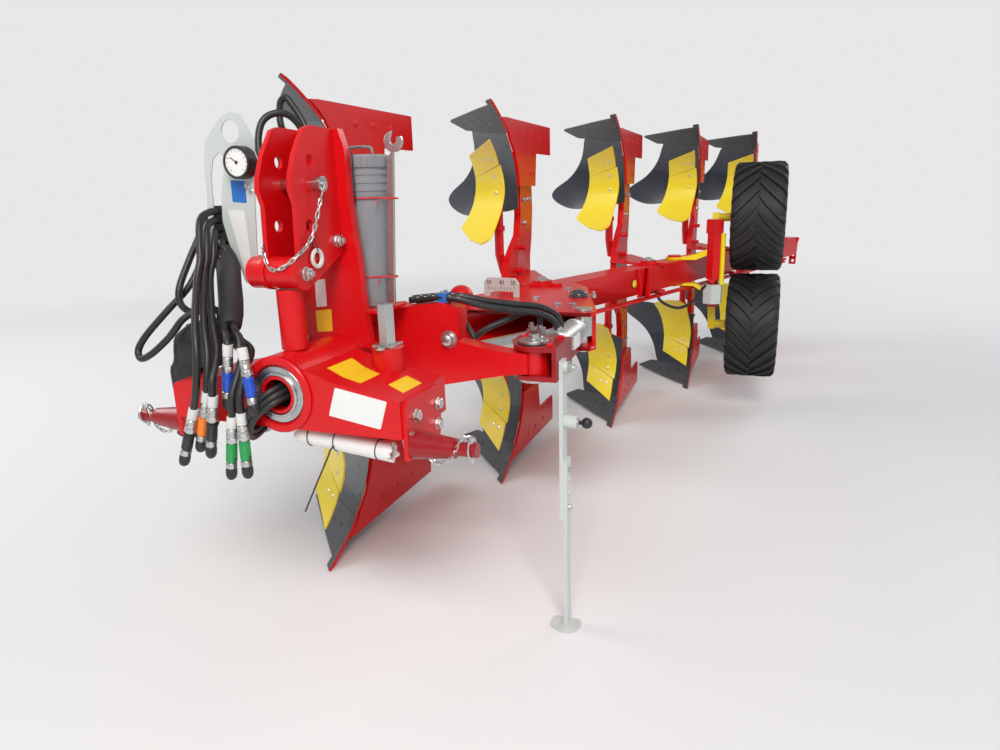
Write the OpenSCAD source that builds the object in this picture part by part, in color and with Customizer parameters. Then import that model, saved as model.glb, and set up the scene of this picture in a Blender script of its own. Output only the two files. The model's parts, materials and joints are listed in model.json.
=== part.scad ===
// Five-furrow mounted reversible mouldboard plough, parked on its lower bodies and its stand.
// Millimetres. Z is up, the plough travels towards -Y, and X runs to the operator's left.
// The working frame has its zero at the tip of the front lower body, and shift moves it
// to the middle of the base of the whole plough.

/* [Plough bodies] */
// Number of furrows
furrows = 5; // [4:1:5]
// Distance from one body to the next, along the beam
body_pitch = 1020; // [960:10:1080]
// Angle between the beam and the line of travel
beam_angle = 19.4; // [18:0.1:21]
// Clear height under the beam
beam_clear = 811; // [760:1:840]
// Working height of the mouldboard
board_h = 505; // [480:1:530]
// Thickness of the mouldboard
board_t = 8; // [6:0.5:11]
// Thickness of the share and its point
share_t = 12; // [9:0.5:13]
// Width of the chisel point
point_w = 54; // [44:1:60]
// Angle of the share's edge to the line of travel
share_angle = 41; // [38:0.5:44]
// Thickness of the landside plate
landside_t = 12; // [8:1:16]
// Height of the landside's top edge
landside_top = 200; // [180:1:215]
// Reach of the landside behind the tip
landside_end = 890; // [800:5:920]

/* [Skimmers] */
// Thickness of the skimmer's plates
skimmer_t = 7; // [5:0.5:9]
// Height of the skimmer's tip above the share's tip
skimmer_tip = 165; // [150:1:180]
// Diameter of the skimmer's arm
skimmer_arm_d = 44; // [36:1:50]

/* [Frame] */
// Height and width of the square beam
beam_w = 140; // [130:1:145]
// Thickness of the console plates
console_t = 15; // [12:1:20]
// Diameter of the console pins
console_pin_d = 50; // [40:1:60]
// Thickness of the body's leg
leg_t = 35; // [25:1:40]
// Width of the steering rod
rod_w = 40; // [30:1:44]

/* [Headstock] */
// Distance between the shoulders of the lower link pins
link_span = 965; // [945:1:1000]
// Diameter of the lower link pins
link_pin_d = 36.6; // [28:0.1:37.4]
// Diameter of the top link pin
top_pin_d = 31.75; // [25:0.05:32]
// Outer diameter of the turnover shaft
shaft_d = 158; // [150:1:164]
// Inner diameter of the turnover shaft
shaft_bore = 104; // [90:1:112]
// Outer diameter of the shaft's housing
housing_d = 206; // [196:1:214]
// Thickness of the tower plates
tower_t = 14; // [10:1:16]
// Clear distance between the tower plates
tower_gap = 84; // [80:1:90]

/* [Depth wheels] */
// Outer diameter of the tyres, over the lugs
tyre_d = 640; // [600:2:650]
// Width of the tyres
tyre_w = 300; // [280:2:304]
// Height of the tread lugs
lug_h = 20; // [12:1:24]
// Number of lugs on each half of the tread
lug_count = 22; // [18:1:24]
// Diameter of the rims
rim_d = 320; // [300:2:340]

/* [Parking stand] */
// Width of the stand's leg
stand_w = 45; // [35:1:50]
// Thickness of each of its two bars
stand_t = 12; // [10:1:14]

/* [Clearances] */
// Gap between pieces that turn on each other
run_gap = 0.3; // [0.3:0.05:0.4]
// Gap between the separate wearing parts of a body
seam_gap = 0.5; // [0.5:0.1:0.9]

/* [Hidden] */
$fn = 48;

// Place of each body and of its console pin
step_x = body_pitch * sin(beam_angle);
step_y = body_pitch * cos(beam_angle);
beam_z = beam_clear + beam_w / 2;
pin_at = [195, 170];
pin_v = pin_at.y / cos(beam_angle);
beam_x0 = pin_at.x - pin_at.y * tan(beam_angle);
beam_front_v = 110;
beam_end_v = pin_v + (furrows - 1) * body_pitch + 350;
beam_end = [beam_x0 + beam_end_v * sin(beam_angle), beam_end_v * cos(beam_angle)];

// Landside plane, and the mouldboard's edge beside it
landside_x = 14;
board_x = landside_x - run_gap;

// Turnover axis, main pivot and stand hinge
axis_x = 332;
pivot_at = [862, -17];
stand_at = [964, -41];
stand_hinge_z = beam_z - 11;

// Depth wheels
carrier_y = pin_at.y + 2.318 * step_y;
carrier_at = [beam_x0 + carrier_y * tan(beam_angle), carrier_y];
wheel_at = [carrier_at.x + 465, carrier_at.y + 200];
wheel_gap = 21;
wheel_mid_z = beam_z - 22.5;

// Height of the joint between share and mouldboard, at a run from the shin
function joint_z(s) = 128 - 0.1 * s;
shin_run = 100;
edge_z = 5;
share_edge_z = 22;
board_rows = [for (r = [
        [shin_run + seam_gap, joint_z(shin_run), 480],
        [200, joint_z(200), 487],
        [300, joint_z(300), 496],
        [400, joint_z(400), 503],
        [470, 190, board_h],
        [540, 262, 499],
        [620, 315, 482],
        [700, 350, 457],
        [752, 377, 432],
        [770, 398, 414]]) [r[0], r[1], r[2] * board_h / 505]];
shin_rows = [[0, joint_z(0), 466 * board_h / 505],
    [shin_run, joint_z(shin_run), 480 * board_h / 505]];
share_from = point_w - 16;
share_rows = [[share_from + seam_gap, share_edge_z, joint_z(share_from) - seam_gap],
    [200, share_edge_z, joint_z(200) - seam_gap],
    [400, share_edge_z + 1, joint_z(400) - seam_gap],
    [480, share_edge_z + 2, joint_z(480) - seam_gap],
    [632, share_edge_z + 5, share_edge_z + 9]];
point_rows = [[-16, edge_z, joint_z(0) - seam_gap], [share_from, edge_z, joint_z(0) - seam_gap]];

// The base of the whole plough, which its outermost pieces give
left_x = min([for (r = board_rows) board_point(r[0], r[2]).x]);
right_x = beam_end.x + beam_w / 2 * cos(beam_angle);
front_y = -554;
rear_y = (furrows - 1) * step_y + landside_end;
shift = [-(left_x + right_x) / 2, -(front_y + rear_y) / 2, 0];

module placed() {
    translate(shift) children();
}

// One console's own frame, with its zero at the tip of its lower body
module at_body(i) {
    placed() translate([(i - 1) * step_x, (i - 1) * step_y, 0]) children();
}

// A piece of the lower body and its mirror image above the beam
module both_bodies() {
    children();
    translate([0, 0, 2 * beam_z]) mirror([0, 0, 1]) children();
}

// A frame that runs along the beam: X across it, Y along it, Z up from its middle
module along_beam() {
    placed() translate([beam_x0, 0, beam_z]) rotate([0, 0, -beam_angle]) children();
}

// A closed sheet between two grids of points of the same size
module sheet(front, back) {
    n = len(front) - 1;
    m = len(front[0]) - 1;
    count = (n + 1) * (m + 1);
    points = concat([for (row = front) each row], [for (row = back) each row]);
    faces = concat(
        [for (i = [0:n - 1], j = [0:m - 1])
            each split([at(i, j), at(i + 1, j), at(i + 1, j + 1), at(i, j + 1)])],
        [for (i = [0:n - 1], j = [0:m - 1])
            each split([for (k = [at(i, j), at(i, j + 1), at(i + 1, j + 1), at(i + 1, j)]) k + count])],
        [for (i = [0:n - 1])
            each split([at(i + 1, 0), at(i, 0), at(i, 0) + count, at(i + 1, 0) + count])],
        [for (i = [0:n - 1])
            each split([at(i, m), at(i + 1, m), at(i + 1, m) + count, at(i, m) + count])],
        [for (j = [0:m - 1])
            each split([at(0, j), at(0, j + 1), at(0, j + 1) + count, at(0, j) + count])],
        [for (j = [0:m - 1])
            each split([at(n, j + 1), at(n, j), at(n, j) + count, at(n, j + 1) + count])]);
    function at(i, j) = i * (m + 1) + j;
    function split(q) = [[q[0], q[1], q[2]], [q[0], q[2], q[3]]];
    polyhedron(points, faces);
}

// The mouldboard's surface is ruled: at each height a straight line leaves the shin,
// at an angle to the line of travel that grows towards the wing
function shin_y(z) = 375 * (1 - pow(1 - min(max(z, 0), 500) / 500, 3));
function board_angle(z) = share_angle + 13 * pow(max(z, 0) / board_h, 1.6);
function board_point(s, z) = [board_x - s * sin(board_angle(z)),
    shin_y(z) + s * cos(board_angle(z)), z];
function unit(v) = v / norm(v);
function board_back(s, z) = unit(cross(board_point(s + 1, z) - board_point(s, z),
    board_point(s, z + 1) - board_point(s, z)));
function keep_in(p, x_max) = [min(p.x, x_max), p.y, max(p.z, 0)];

// A sheet on the mouldboard's surface. Each row of the table is [run from the shin, low, high]
module board_sheet(rows, steps, thick, x_max = board_x) {
    front = [for (r = rows) [for (j = [0:steps])
        board_point(r[0], r[1] + (r[2] - r[1]) * j / steps)]];
    back = [for (r = rows) [for (j = [0:steps])
        let (z = r[1] + (r[2] - r[1]) * j / steps)
        keep_in(board_point(r[0], z) + thick * board_back(r[0], z), x_max)]];
    sheet(front, back);
}

module bottoms() {
    color("dimgray") both_bodies() {
        board_sheet(board_rows, 6, board_t);
        board_sheet(shin_rows, 6, board_t);
        board_sheet(share_rows, 2, share_t);
        board_sheet(point_rows, 2, share_t, board_x + 16);
    }
}

// The skimmer is a small mouldboard of its own, curled forwards at its top
skimmer_angle = 50;
function skimmer_y(z) = 170 - 150 * pow((z - skimmer_tip - 215) / 210, 2);
function skimmer_point(s, z) = [20 - s * sin(skimmer_angle), skimmer_y(z) + s * cos(skimmer_angle), z];
function skimmer_back(s, z) = unit(cross(skimmer_point(s + 1, z) - skimmer_point(s, z),
    skimmer_point(s, z + 1) - skimmer_point(s, z)));

// Place along Y of the skimmer's back, seen at one X and one height
function skimmer_seat(x, z) = skimmer_y(z) + (20 - x) / tan(skimmer_angle)
    + skimmer_t / sin(skimmer_angle) + run_gap;

// Each row is [height of its right end above the tip, height of its left end, run of its right end,
// run of its left end]
module skimmer_sheet(rows, steps) {
    function along(r, i) = [r[2] + (r[3] - r[2]) * i / steps,
        skimmer_tip + r[0] + (r[1] - r[0]) * i / steps];
    front = [for (i = [0:steps]) [for (r = rows)
        let (a = along(r, i)) skimmer_point(a[0], a[1])]];
    back = [for (i = [0:steps]) [for (r = rows)
        let (a = along(r, i)) skimmer_point(a[0], a[1]) + skimmer_t * skimmer_back(a[0], a[1])]];
    sheet(front, back);
}

clamp_z = skimmer_tip + 220;
skimmer_share_rows = [[0, 50, 18, 266], [52, 100, 20, 270], [103.5, 149.5, 26, 272]];
skimmer_board_rows = [[104, 150, 14, 273], [150, 182, 10, 280], [200, 225, 8, 290], [220, 240, 9, 296],
    [250, 270, 14, 306], [300, 314, 24, 326], [345, 350, 34, 348], [385, 374, 38, 366], [418, 392, 42, 362],
    [436, 414, 72, 300], [448, 434, 109, 231]];

module skimmers() {
    color("gold") both_bodies() {
        skimmer_sheet(skimmer_share_rows, 2);
        skimmer_sheet(skimmer_board_rows, 4);
    }
}

// Console, legs, frogs, landsides and skimmer arms of one body pair
leg_x = -45;
leg_pegs = [[440, 660], [400, 770]];
plate_z = beam_w / 2 + run_gap;

// Place along Y just behind the sheet, at the landside's edge
function behind_board(z, thick) = shin_y(z) + thick / board_back(0, z).y + run_gap;

module yz_plate(x, t, points) {
    translate([x, 0, 0]) rotate([90, 0, 90]) linear_extrude(t) polygon(points);
}

module leg_half() {
    yz_plate(leg_x, leg_t, [[470, 300], [480, 500], [455, 600], [380, 650], [275, 735],
        [255, beam_z], [620, beam_z], [620, 720], [650, 620], [670, 480], [660, 300]]);
    yz_plate(leg_x, landside_x - leg_x, [[shin_y(200) + 80, 201], [shin_y(280) + 80, 280],
        [shin_y(360) + 80, 360], [620, 360], [640, 201]]);
    yz_plate(landside_x, landside_t, concat(
        [for (z = [62, 95, joint_z(0)]) [behind_board(z, share_t), z]],
        [for (z = [joint_z(0) + 1, 200, 280, 360]) [behind_board(z, board_t), z]],
        [[620, 360], [640, landside_top], [landside_end, landside_top], [landside_end, 58], [200, 58]]));
    for (p = leg_pegs) translate([leg_x + leg_t - 1, p.x, p.y]) rotate([0, 90, 0])
        cylinder(h = 36, d = 24);
    // Skimmer arm, with the clamp that carries the skimmer
    translate([-62, 300, 380]) cylinder(h = 300, d = skimmer_arm_d);
    translate([-62, 300, 680]) rotate([-32, 0, 0]) cylinder(h = 110, d = skimmer_arm_d);
    translate([-62, 300, 680]) sphere(d = skimmer_arm_d);
    translate([0, 0, clamp_z]) linear_extrude(60) polygon([[-84, skimmer_seat(-84, clamp_z)],
        [-40, skimmer_seat(-40, clamp_z)], [-40, 300], [-84, 300]]);
}

module console_plate() {
    linear_extrude(console_t) difference() {
        union() {
            polygon([[leg_x, 250], [leg_x, 640], [leg_x + leg_t + 20, 640], [215, 230],
                [245, 180], [185, 108], [150, 115]]);
            translate(pin_at) circle(r = 62);
            translate([pin_at.x, pin_at.y]) rotate([0, 0, -15]) translate([0, -25]) square([80, 50]);
            translate(rod_at) circle(r = 26);
        }
    }
}

// The steering rod's eye on each console
rod_at = [pin_at.x + 75, pin_at.y - 20];

module console(i) {
    color("red") at_body(i) {
        both_bodies() leg_half();
        translate([0, 0, beam_z + plate_z]) console_plate();
        translate([0, 0, beam_z - plate_z - console_t]) console_plate();
        translate([pin_at.x, pin_at.y, beam_z - plate_z - console_t])
            cylinder(h = 2 * (plate_z + console_t), d = console_pin_d);
        for (s = [-1, 1]) translate([pin_at.x, pin_at.y, beam_z + s * (plate_z + console_t + 4)])
            cylinder(h = 8, d = 92, center = true);
        translate([rod_at.x, rod_at.y, beam_z - plate_z - console_t - 24]) cylinder(h = 24, d = 24);
    }
}

// The rod that keeps all the consoles parallel
rod_z = beam_z - plate_z - console_t - 20;

module steering_rod() {
    rod_v = norm(rod_at - pin_at);
    color("firebrick") placed() translate([rod_at.x, rod_at.y, rod_z]) rotate([0, 0, -beam_angle])
        difference() {
            union() {
                translate([-rod_w / 2, 0, 0]) cube([rod_w, (furrows - 1) * body_pitch, 12]);
                for (k = [0:furrows - 1]) translate([0, k * body_pitch, 0]) cylinder(h = 12, d = rod_w);
            }
            for (k = [0:furrows - 1]) translate([0, k * body_pitch, -1])
                cylinder(h = 14, d = 24 + 2 * run_gap);
        }
}

// Beam with its wide front box, and a bore for each console pin and for the wheel carrier's pin
box_front = 430;
box_plate_t = 15;
box_right = [[930, box_front], [942, 470], [930, 520], [754, 1102]];
box_rear = 1260;
width_pin_at = [892, 478];
width_pin_d = 30;

function beam_side(y, side) = beam_x0 + y * tan(beam_angle) + side * beam_w / 2 / cos(beam_angle);

module box_plate() {
    linear_extrude(box_plate_t) difference() {
        polygon(concat([[beam_side(box_front, 0), box_front]], box_right,
            [[beam_side(box_rear, 1), box_rear], [beam_side(box_rear, 0), box_rear]]));
        translate(width_pin_at) circle(d = width_pin_d + 2 * run_gap);
    }
}

module box_wall() {
    inner = [beam_side(box_rear, 1) - 14, box_rear - 14];
    linear_extrude(beam_w - 2 * box_plate_t + 2) polygon([box_right[2], box_right[3],
        [beam_side(box_rear, 1), box_rear], inner, box_right[3] - [18, 8], box_right[2] - [15, 4]]);
}

// Collar and gusset on the beam's right side, ahead of the wheel carrier's pin
collar_v = pin_v + 1.735 * body_pitch;

module beam_collar() {
    along_beam() translate([beam_w / 2 - 1, collar_v, 0]) {
        rotate([90, 0, 90]) linear_extrude(15)
            polygon([[0, 74], [92, 74], [92, -84], [15, -84], [40, -60]]);
        translate([0, 80, -84]) cube([42, 12, 156]);
    }
}

// Perforated bracket on the beam's end
module end_bracket() {
    along_beam() translate([14, beam_end_v - 1, 0]) rotate([90, 0, 0]) translate([0, 0, -9])
        linear_extrude(9) difference() {
            polygon([[0, -40], [0, -150], [52, -150], [58, 20], [70, 66], [30, 66], [30, 20]]);
            for (z = [-122, -74, -26]) translate([29, z]) circle(d = 24);
        }
}

module beam() {
    color("red") difference() {
        union() {
            along_beam() translate([-beam_w / 2, beam_front_v, -beam_w / 2])
                cube([beam_w, beam_end_v - beam_front_v, beam_w]);
            placed() {
                translate([0, 0, beam_z + beam_w / 2 - box_plate_t]) box_plate();
                translate([0, 0, beam_z - beam_w / 2]) box_plate();
                translate([0, 0, beam_z - beam_w / 2 + box_plate_t - 1]) box_wall();
            }
            beam_collar();
            end_bracket();
        }
        for (i = [1:furrows]) at_body(i) translate([pin_at.x, pin_at.y, 0])
            cylinder(h = 2 * beam_z, d = console_pin_d + 2 * run_gap);
        placed() translate([carrier_at.x, carrier_at.y, 0])
            cylinder(h = 2 * beam_z, d = console_pin_d + 2 * run_gap);
    }
}

// Fork that holds the main pivot and the stand
fork_z = 37;
fork_t = 15;
fork_rear = 95;
rail_h = 41;

module fork_plate() {
    linear_extrude(fork_t) difference() {
        union() {
            translate(pivot_at) circle(r = 62);
            polygon([[800, -17], [862, -79], [950, -79], [950, fork_rear], [780, fork_rear], [780, 20]]);
        }
        translate(pivot_at) circle(d = 50);
    }
}

module fork() {
    color("darkred") placed() {
        translate([0, 0, beam_z + fork_z]) fork_plate();
        translate([0, 0, beam_z - fork_z - fork_t]) fork_plate();
        difference() {
            translate([935, -79, beam_z - fork_z]) cube([15, fork_rear + 79, 2 * fork_z]);
            translate([930, stand_at.y, stand_hinge_z]) rotate([0, 90, 0]) cylinder(h = 30, d = 20);
        }
        translate([780, fork_rear - 15, beam_z - fork_z]) cube([155, 15, 2 * fork_z]);
        // Rail from the fork to the front box
        translate([0, 0, beam_z - beam_w / 2]) linear_extrude(rail_h) polygon([[800, fork_rear - 15],
            [905, fork_rear - 15], [905, fork_rear], [890, box_front - run_gap],
            [790, box_front - run_gap], [800, fork_rear]]);
    }
}

module pivot_pin() {
    color("silver") placed() translate([pivot_at.x, pivot_at.y, beam_z - fork_z - fork_t - 12]) {
        cylinder(h = 2 * (fork_z + fork_t) + 24, d = 50);
        cylinder(h = 12, d = 92);
        translate([0, 0, 2 * (fork_z + fork_t) + 12]) cylinder(h = 12, d = 92);
    }
}

// Turnover shaft and the arm that carries the frame
shaft_len = 554 - 85 - run_gap;

module turnover_shaft() {
    color("silver") placed() translate([axis_x, -554, beam_z]) rotate([-90, 0, 0])
        rotate_extrude($fn = 64)
            polygon([[shaft_bore / 2, 0], [shaft_d / 2 - 4, 0], [shaft_d / 2, 4], [shaft_d / 2, shaft_len],
                [shaft_bore / 2, shaft_len]]);
}

module turnover_arm() {
    color("red") placed() {
        difference() {
            union() {
                translate([0, -20, 0]) rotate([90, 0, 0]) linear_extrude(65) polygon([for (p = [
                    [262, -100], [262, 95], [335, 150], [347, 160], [433, 169], [457, 160], [587, 176],
                    [649, 157], [640, 60], [699, 48], [776, 35], [862, 30], [862, -30], [790, -38],
                    [675, -62], [582, -82], [472, -103]]) [p.x, beam_z + p.y]]);
                for (z = [beam_z - spindle_lug - 10, beam_z + spindle_lug]) translate([0, 0, z])
                    linear_extrude(10) difference() {
                        polygon([[570, -21], [640, -21], [632, 30], [605, 42], [578, 30]]);
                        translate(spindle_at) circle(d = 24 + 2 * run_gap);
                    }
                translate([262, -21, beam_z - 100]) cube([180, 61, 200]);
                translate([pivot_at.x, pivot_at.y, beam_z - fork_z + run_gap])
                    cylinder(h = 2 * (fork_z - run_gap), d = 100);
            }
            translate([pivot_at.x, pivot_at.y, 0]) cylinder(h = 2 * beam_z, d = 50 + 2 * run_gap);
            translate([axis_x, 100, beam_z]) rotate([90, 0, 0]) cylinder(h = 300, d = shaft_bore);
        }
    }
}

// Adjusting spindle, held at its front by the arm's lugs, and the cylinder of the furrow width
spindle_at = [605, 12];
spindle_lug = 25;
spindle_angle = 26.7;

module spindle() {
    color("silver") placed() translate([spindle_at.x, spindle_at.y, beam_z]) {
        translate([0, 0, run_gap - spindle_lug]) cylinder(h = 2 * (spindle_lug - run_gap), d = 50);
        translate([0, 0, -spindle_lug - 14]) cylinder(h = 2 * (spindle_lug + 14), d = 24);
        rotate([-90, 0, -spindle_angle]) {
            translate([0, 0, 12]) cylinder(h = 40, d1 = 26, d2 = 36);
            translate([0, 0, 50]) cylinder(h = 260, d = 52, $fn = 6);
            translate([0, 0, 300]) cylinder(h = 170, d = 34);
            translate([0, 0, 470]) rotate([90, 0, 0]) translate([0, 0, -25]) cylinder(h = 50, d = 54);
        }
    }
}

width_d = 88;

module width_cylinder() {
    z0 = beam_z - beam_w / 2 + rail_h + run_gap + width_d / 2;
    color("gray") placed() {
        translate([width_pin_at.x, fork_rear + run_gap, z0]) rotate([-90, 0, 0]) {
            cylinder(h = 262, d = width_d);
            translate([0, 0, 261]) cylinder(h = 30, d1 = width_d, d2 = 64);
            cylinder(h = width_pin_at.y - fork_rear - 20, d = 45);
        }
        translate([width_pin_at.x, width_pin_at.y, z0 - 36]) cylinder(h = 72, d = 64);
        translate([width_pin_at.x, width_pin_at.y, beam_z - beam_w / 2 - 12])
            cylinder(h = beam_w + 12 + run_gap, d = width_pin_d);
        translate([width_pin_at.x, width_pin_at.y, beam_z + beam_w / 2 + run_gap])
            cylinder(h = 10, d = 66);
    }
}

module scale_plate() {
    color("white") placed() translate([390, 770, beam_z + beam_w / 2]) rotate([90, 0, -10])
        linear_extrude(5) difference() {
            polygon([[0, 0], [0, 60], [20, 80], [150, 80], [170, 60], [170, 0]]);
            translate([28, -1]) square([114, 24]);
        }
}

// Headstock: cross box with the shaft's housing
box_half = 356;
box_y = [-550, -290];
box_top = beam_z + 69;
end_t = 12;
post_at = [542, -335];
post_base = 24;

// Right half of the box's arched top, each point [run from the shaft's axis, height over it]
box_arch = [[box_half, 6], [164, 42], [121, 59], [85, box_top - beam_z]];
box_low = -92;

// Outline of the end plates, each point [place along Y, height over the shaft's axis]
end_outline = [[-542, -150], [-470, -160], [-362, -148], [-348, -120], [-348, -12], [-364, 4],
    [-526, 4], [-542, -12]];

module headstock() {
    color("red") placed() difference() {
        union() {
            translate([axis_x, box_y[1], beam_z]) rotate([90, 0, 0]) linear_extrude(box_y[1] - box_y[0])
                polygon(concat([[-box_half, box_low], [box_half, box_low]], box_arch,
                    [for (k = [len(box_arch) - 1:-1:0]) [-box_arch[k][0], box_arch[k][1]]]));
            translate([axis_x, -95, beam_z]) rotate([90, 0, 0]) cylinder(h = 450, d = housing_d);
            translate([axis_x, 0, beam_z]) {
                yz_plate(box_half - 1, end_t + 1, end_outline);
                yz_plate(-box_half - end_t, end_t + 1, end_outline);
            }
            translate([post_at.x, post_at.y, beam_z]) cylinder(h = box_top - beam_z + post_base, d = 90);
        }
        translate([axis_x, 0, beam_z]) rotate([90, 0, 0]) cylinder(h = 600, d = shaft_d + 2 * run_gap);
    }
}

module link_pins() {
    color("darkred") placed() for (s = [-1, 1])
        translate([axis_x, -505, beam_z - 116]) rotate([0, s * 90, 0]) {
            translate([0, 0, box_half + end_t]) cylinder(h = link_span / 2 - box_half - end_t,
                d1 = 78, d2 = 50);
            translate([0, 0, link_span / 2]) difference() {
                cylinder(h = 57, d = link_pin_d);
                translate([-50, 0, 42]) rotate([0, 90, 0]) cylinder(h = 100, d = 12);
            }
        }
}

// Tower: two plates and a channel behind them
tower_x = 327;
tower_in = tower_x - tower_gap / 2;
tower_top = 1558;

// Each row of the column behind the plates is [height, half width]
column_rows = [[1556, 69], [1507, 85], [1373, 87], [1273, 95.5], [1210, 103.5], [1107, 108],
    [1017, 116], [box_top + run_gap, 123]];
shelf_z = 1050;
shelf_x = 330;
container_at = [405, -164];
container_d = 150;
panel_y = -330;

module tower_outline() {
    difference() {
        union() {
            polygon([[-377, tower_top], [-405, 1549], [-452, 1486], [-477, 1429], [-482, 1399],
                [-467, 1359], [-473, 1246], [-475, 1154], [-440, 1146], [-272, 1225], [-238, 1554]]);
            translate([-305, 1262]) circle(r = 45);
            translate([-457, 1188]) circle(r = 45);
        }
        translate([-391, 1469]) circle(r = 16.2);
        translate([-381, 1411]) circle(d = top_pin_d + 0.2);
        translate([-417, 1306]) circle(r = 16.2);
    }
}

module tower() {
    color("red") placed() {
        for (x = [tower_in - tower_t, tower_in + tower_gap])
            translate([x, 0, 0]) rotate([90, 0, 90]) linear_extrude(tower_t) tower_outline();
        difference() {
            union() {
                translate([tower_x, -261, 0]) rotate([90, 0, 0]) linear_extrude(12)
                    polygon(concat([for (r = column_rows) [r[1], r[0]]],
                        [for (k = [len(column_rows) - 1:-1:0]) [-column_rows[k][1], column_rows[k][0]]]));
                for (s = [-1, 1]) translate([tower_x, -245, 0]) rotate([90, 0, 0]) linear_extrude(27)
                    polygon(concat([for (r = column_rows) [s * r[1], r[0]]],
                        [for (k = [len(column_rows) - 1:-1:0])
                            [s * (column_rows[k][1] - 12), column_rows[k][0]]]));
            }
            translate([axis_x, 0, beam_z]) rotate([90, 0, 0])
                cylinder(h = 400, d = housing_d + 2 * run_gap);
        }
        translate([225, -456, 1188]) rotate([0, 90, 0]) cylinder(h = tower_in - tower_t - 225, d = 84);
        translate([shelf_x, -262, shelf_z]) cube([container_at.x + container_d / 2 - shelf_x, 160, 8]);
        // Brackets of the hose panel
        for (z = [1180, 1390]) {
            translate([90, panel_y + run_gap, z]) cube([170, 12, 40]);
            translate([246, panel_y + run_gap, z]) cube([14, 66, 40]);
        }
    }
}

module top_link_pin() {
    color("silver") placed() translate([tower_x - 70, -381, 1411]) rotate([0, 90, 0]) {
        cylinder(h = 150, d = top_pin_d);
        translate([0, 0, 70]) sphere(d = 50);
        translate([0, 0, 140]) cylinder(h = 14, d = 40);
    }
}

module turnover_cylinder() {
    color("red") placed() {
        translate([tower_x, -456, beam_z + housing_d / 2 + run_gap]) cylinder(h = 160, d = 70);
        translate([tower_in + run_gap, -456, 1188]) rotate([0, 90, 0])
            cylinder(h = tower_gap - 2 * run_gap, d = 84);
    }
}

module tool_post() {
    color("silver") placed() translate([post_at.x, post_at.y, box_top + post_base + run_gap]) {
        cylinder(h = 120, d = 50, $fn = 6);
        translate([-31, -31, 0]) cube([62, 62, 9]);
    }
}

module container() {
    color("dimgray") placed() translate([container_at.x, container_at.y, shelf_z + 8 + run_gap]) {
        cylinder(h = 425, d1 = 95, d2 = container_d - 10);
        translate([0, 0, 425]) cylinder(h = 30, d = container_d);
    }
}

module wrench() {
    color("gray") placed() translate([container_at.x + container_d / 2 + run_gap, container_at.y - 14,
        shelf_z]) cube([12, 28, 500]);
}

// Panel of the hoses: a prong and a main part, with an open slot between them
slot_points = [[-12, 1150], [-8, 1304], [0, 1367], [4, 1442], [18, 1490], [41, 1507], [55, 1497],
    [51, 1458], [33, 1392], [26, 1320], [40, 1253], [73, 1176], [80, 1150]];
gauge_at = [130, 1476];

module hose_panel() {
    color("white") placed() translate([0, panel_y, 0]) rotate([90, 0, 0]) linear_extrude(4) difference() {
        polygon([[96, 1612], [60, 1600], [-1, 1541], [-15, 1479], [-19, 1393], [-38, 1201], [-30, 1190],
            [-12, 1195], [-12, 1150], [80, 1150], [84, 1141], [128, 1138], [146, 1352], [152, 1425],
            [171, 1530], [129, 1604]]);
        polygon(slot_points);
        translate([90, 1561]) circle(d = 60);
        translate(gauge_at) circle(d = 20.6);
    }
}

// Rubber block behind the slot, which the hoses come out of
grommet_x = -14;

module grommet() {
    color("black") placed() translate([0, panel_y + run_gap, 0]) rotate([90, 0, 0])
        translate([0, 0, -24]) linear_extrude(24)
            polygon([[grommet_x, 1222], [grommet_x, 1362], [30, 1362], [52, 1222]]);
}

// Soft bag that hangs at the box's inner end plate and lies over the corner of the box
bag_top = 1040;

module bag() {
    bag_x = axis_x - box_half - end_t - run_gap;
    color("black") placed() translate([0, -345, 0]) rotate([90, 0, 0]) linear_extrude(110)
        polygon([[-172, 680], [-60, 690], [bag_x, 730], [bag_x, 905], [46, 905], [46, bag_top],
            [-40, bag_top], [-119, 994], [-160, 883], [-161, 807], [-140, 730]]);
}

module gauge() {
    color("black") placed() translate([gauge_at.x, panel_y - 4 - run_gap, gauge_at.y]) rotate([90, 0, 0]) {
        cylinder(h = 34, d = 88);
        translate([0, 0, -36]) cylinder(h = 36, d = 20);
    }
}

// Wheel carrier: post, levers over and under the beam, and an arm to each axle
axle_z = wheel_gap / 2 + tyre_d / 2;

module wheel_levers() {
    lever_end = post_in - 12 - run_gap;
    color("gold") placed() difference() {
        translate([carrier_at.x, carrier_at.y, beam_z]) {
            for (s = [-1, 1]) translate([0, 0, s > 0 ? plate_z : -plate_z - console_t])
                cylinder(h = console_t, d = 100);
            // Upper lever rises to the post, and the lower one passes over the steering rod
            translate([0, 35, plate_z]) rotate([90, 0, 0]) linear_extrude(70)
                polygon([[0, 0], [130, 0], [post_in - run_gap, 26], [post_in - run_gap, 62], [130, 34],
                    [45, console_t], [0, console_t]]);
            translate([0, 35, -plate_z]) rotate([90, 0, 0]) linear_extrude(70)
                polygon([[0, 0], [130, 0], [lever_end, -26], [lever_end, -52],
                    [120, -console_t], [0, -console_t]]);
        }
        translate([carrier_at.x, carrier_at.y, 0]) cylinder(h = 2 * beam_z, d = console_pin_d + 0.2);
    }
}

// Post and its red cover, which has a wide head and a fold down its middle
post_in = 192;
cover_w = 75;
cover_z = [-41, 226, 304];

module cover_part(low, high, out) {
    translate([0, 0, beam_z + low]) linear_extrude(high - low)
        polygon([[-out, -34], [cover_w / 2, -55 - out / 2], [cover_w + out, -34], [cover_w + out, 50],
            [-out, 50]]);
}

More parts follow.
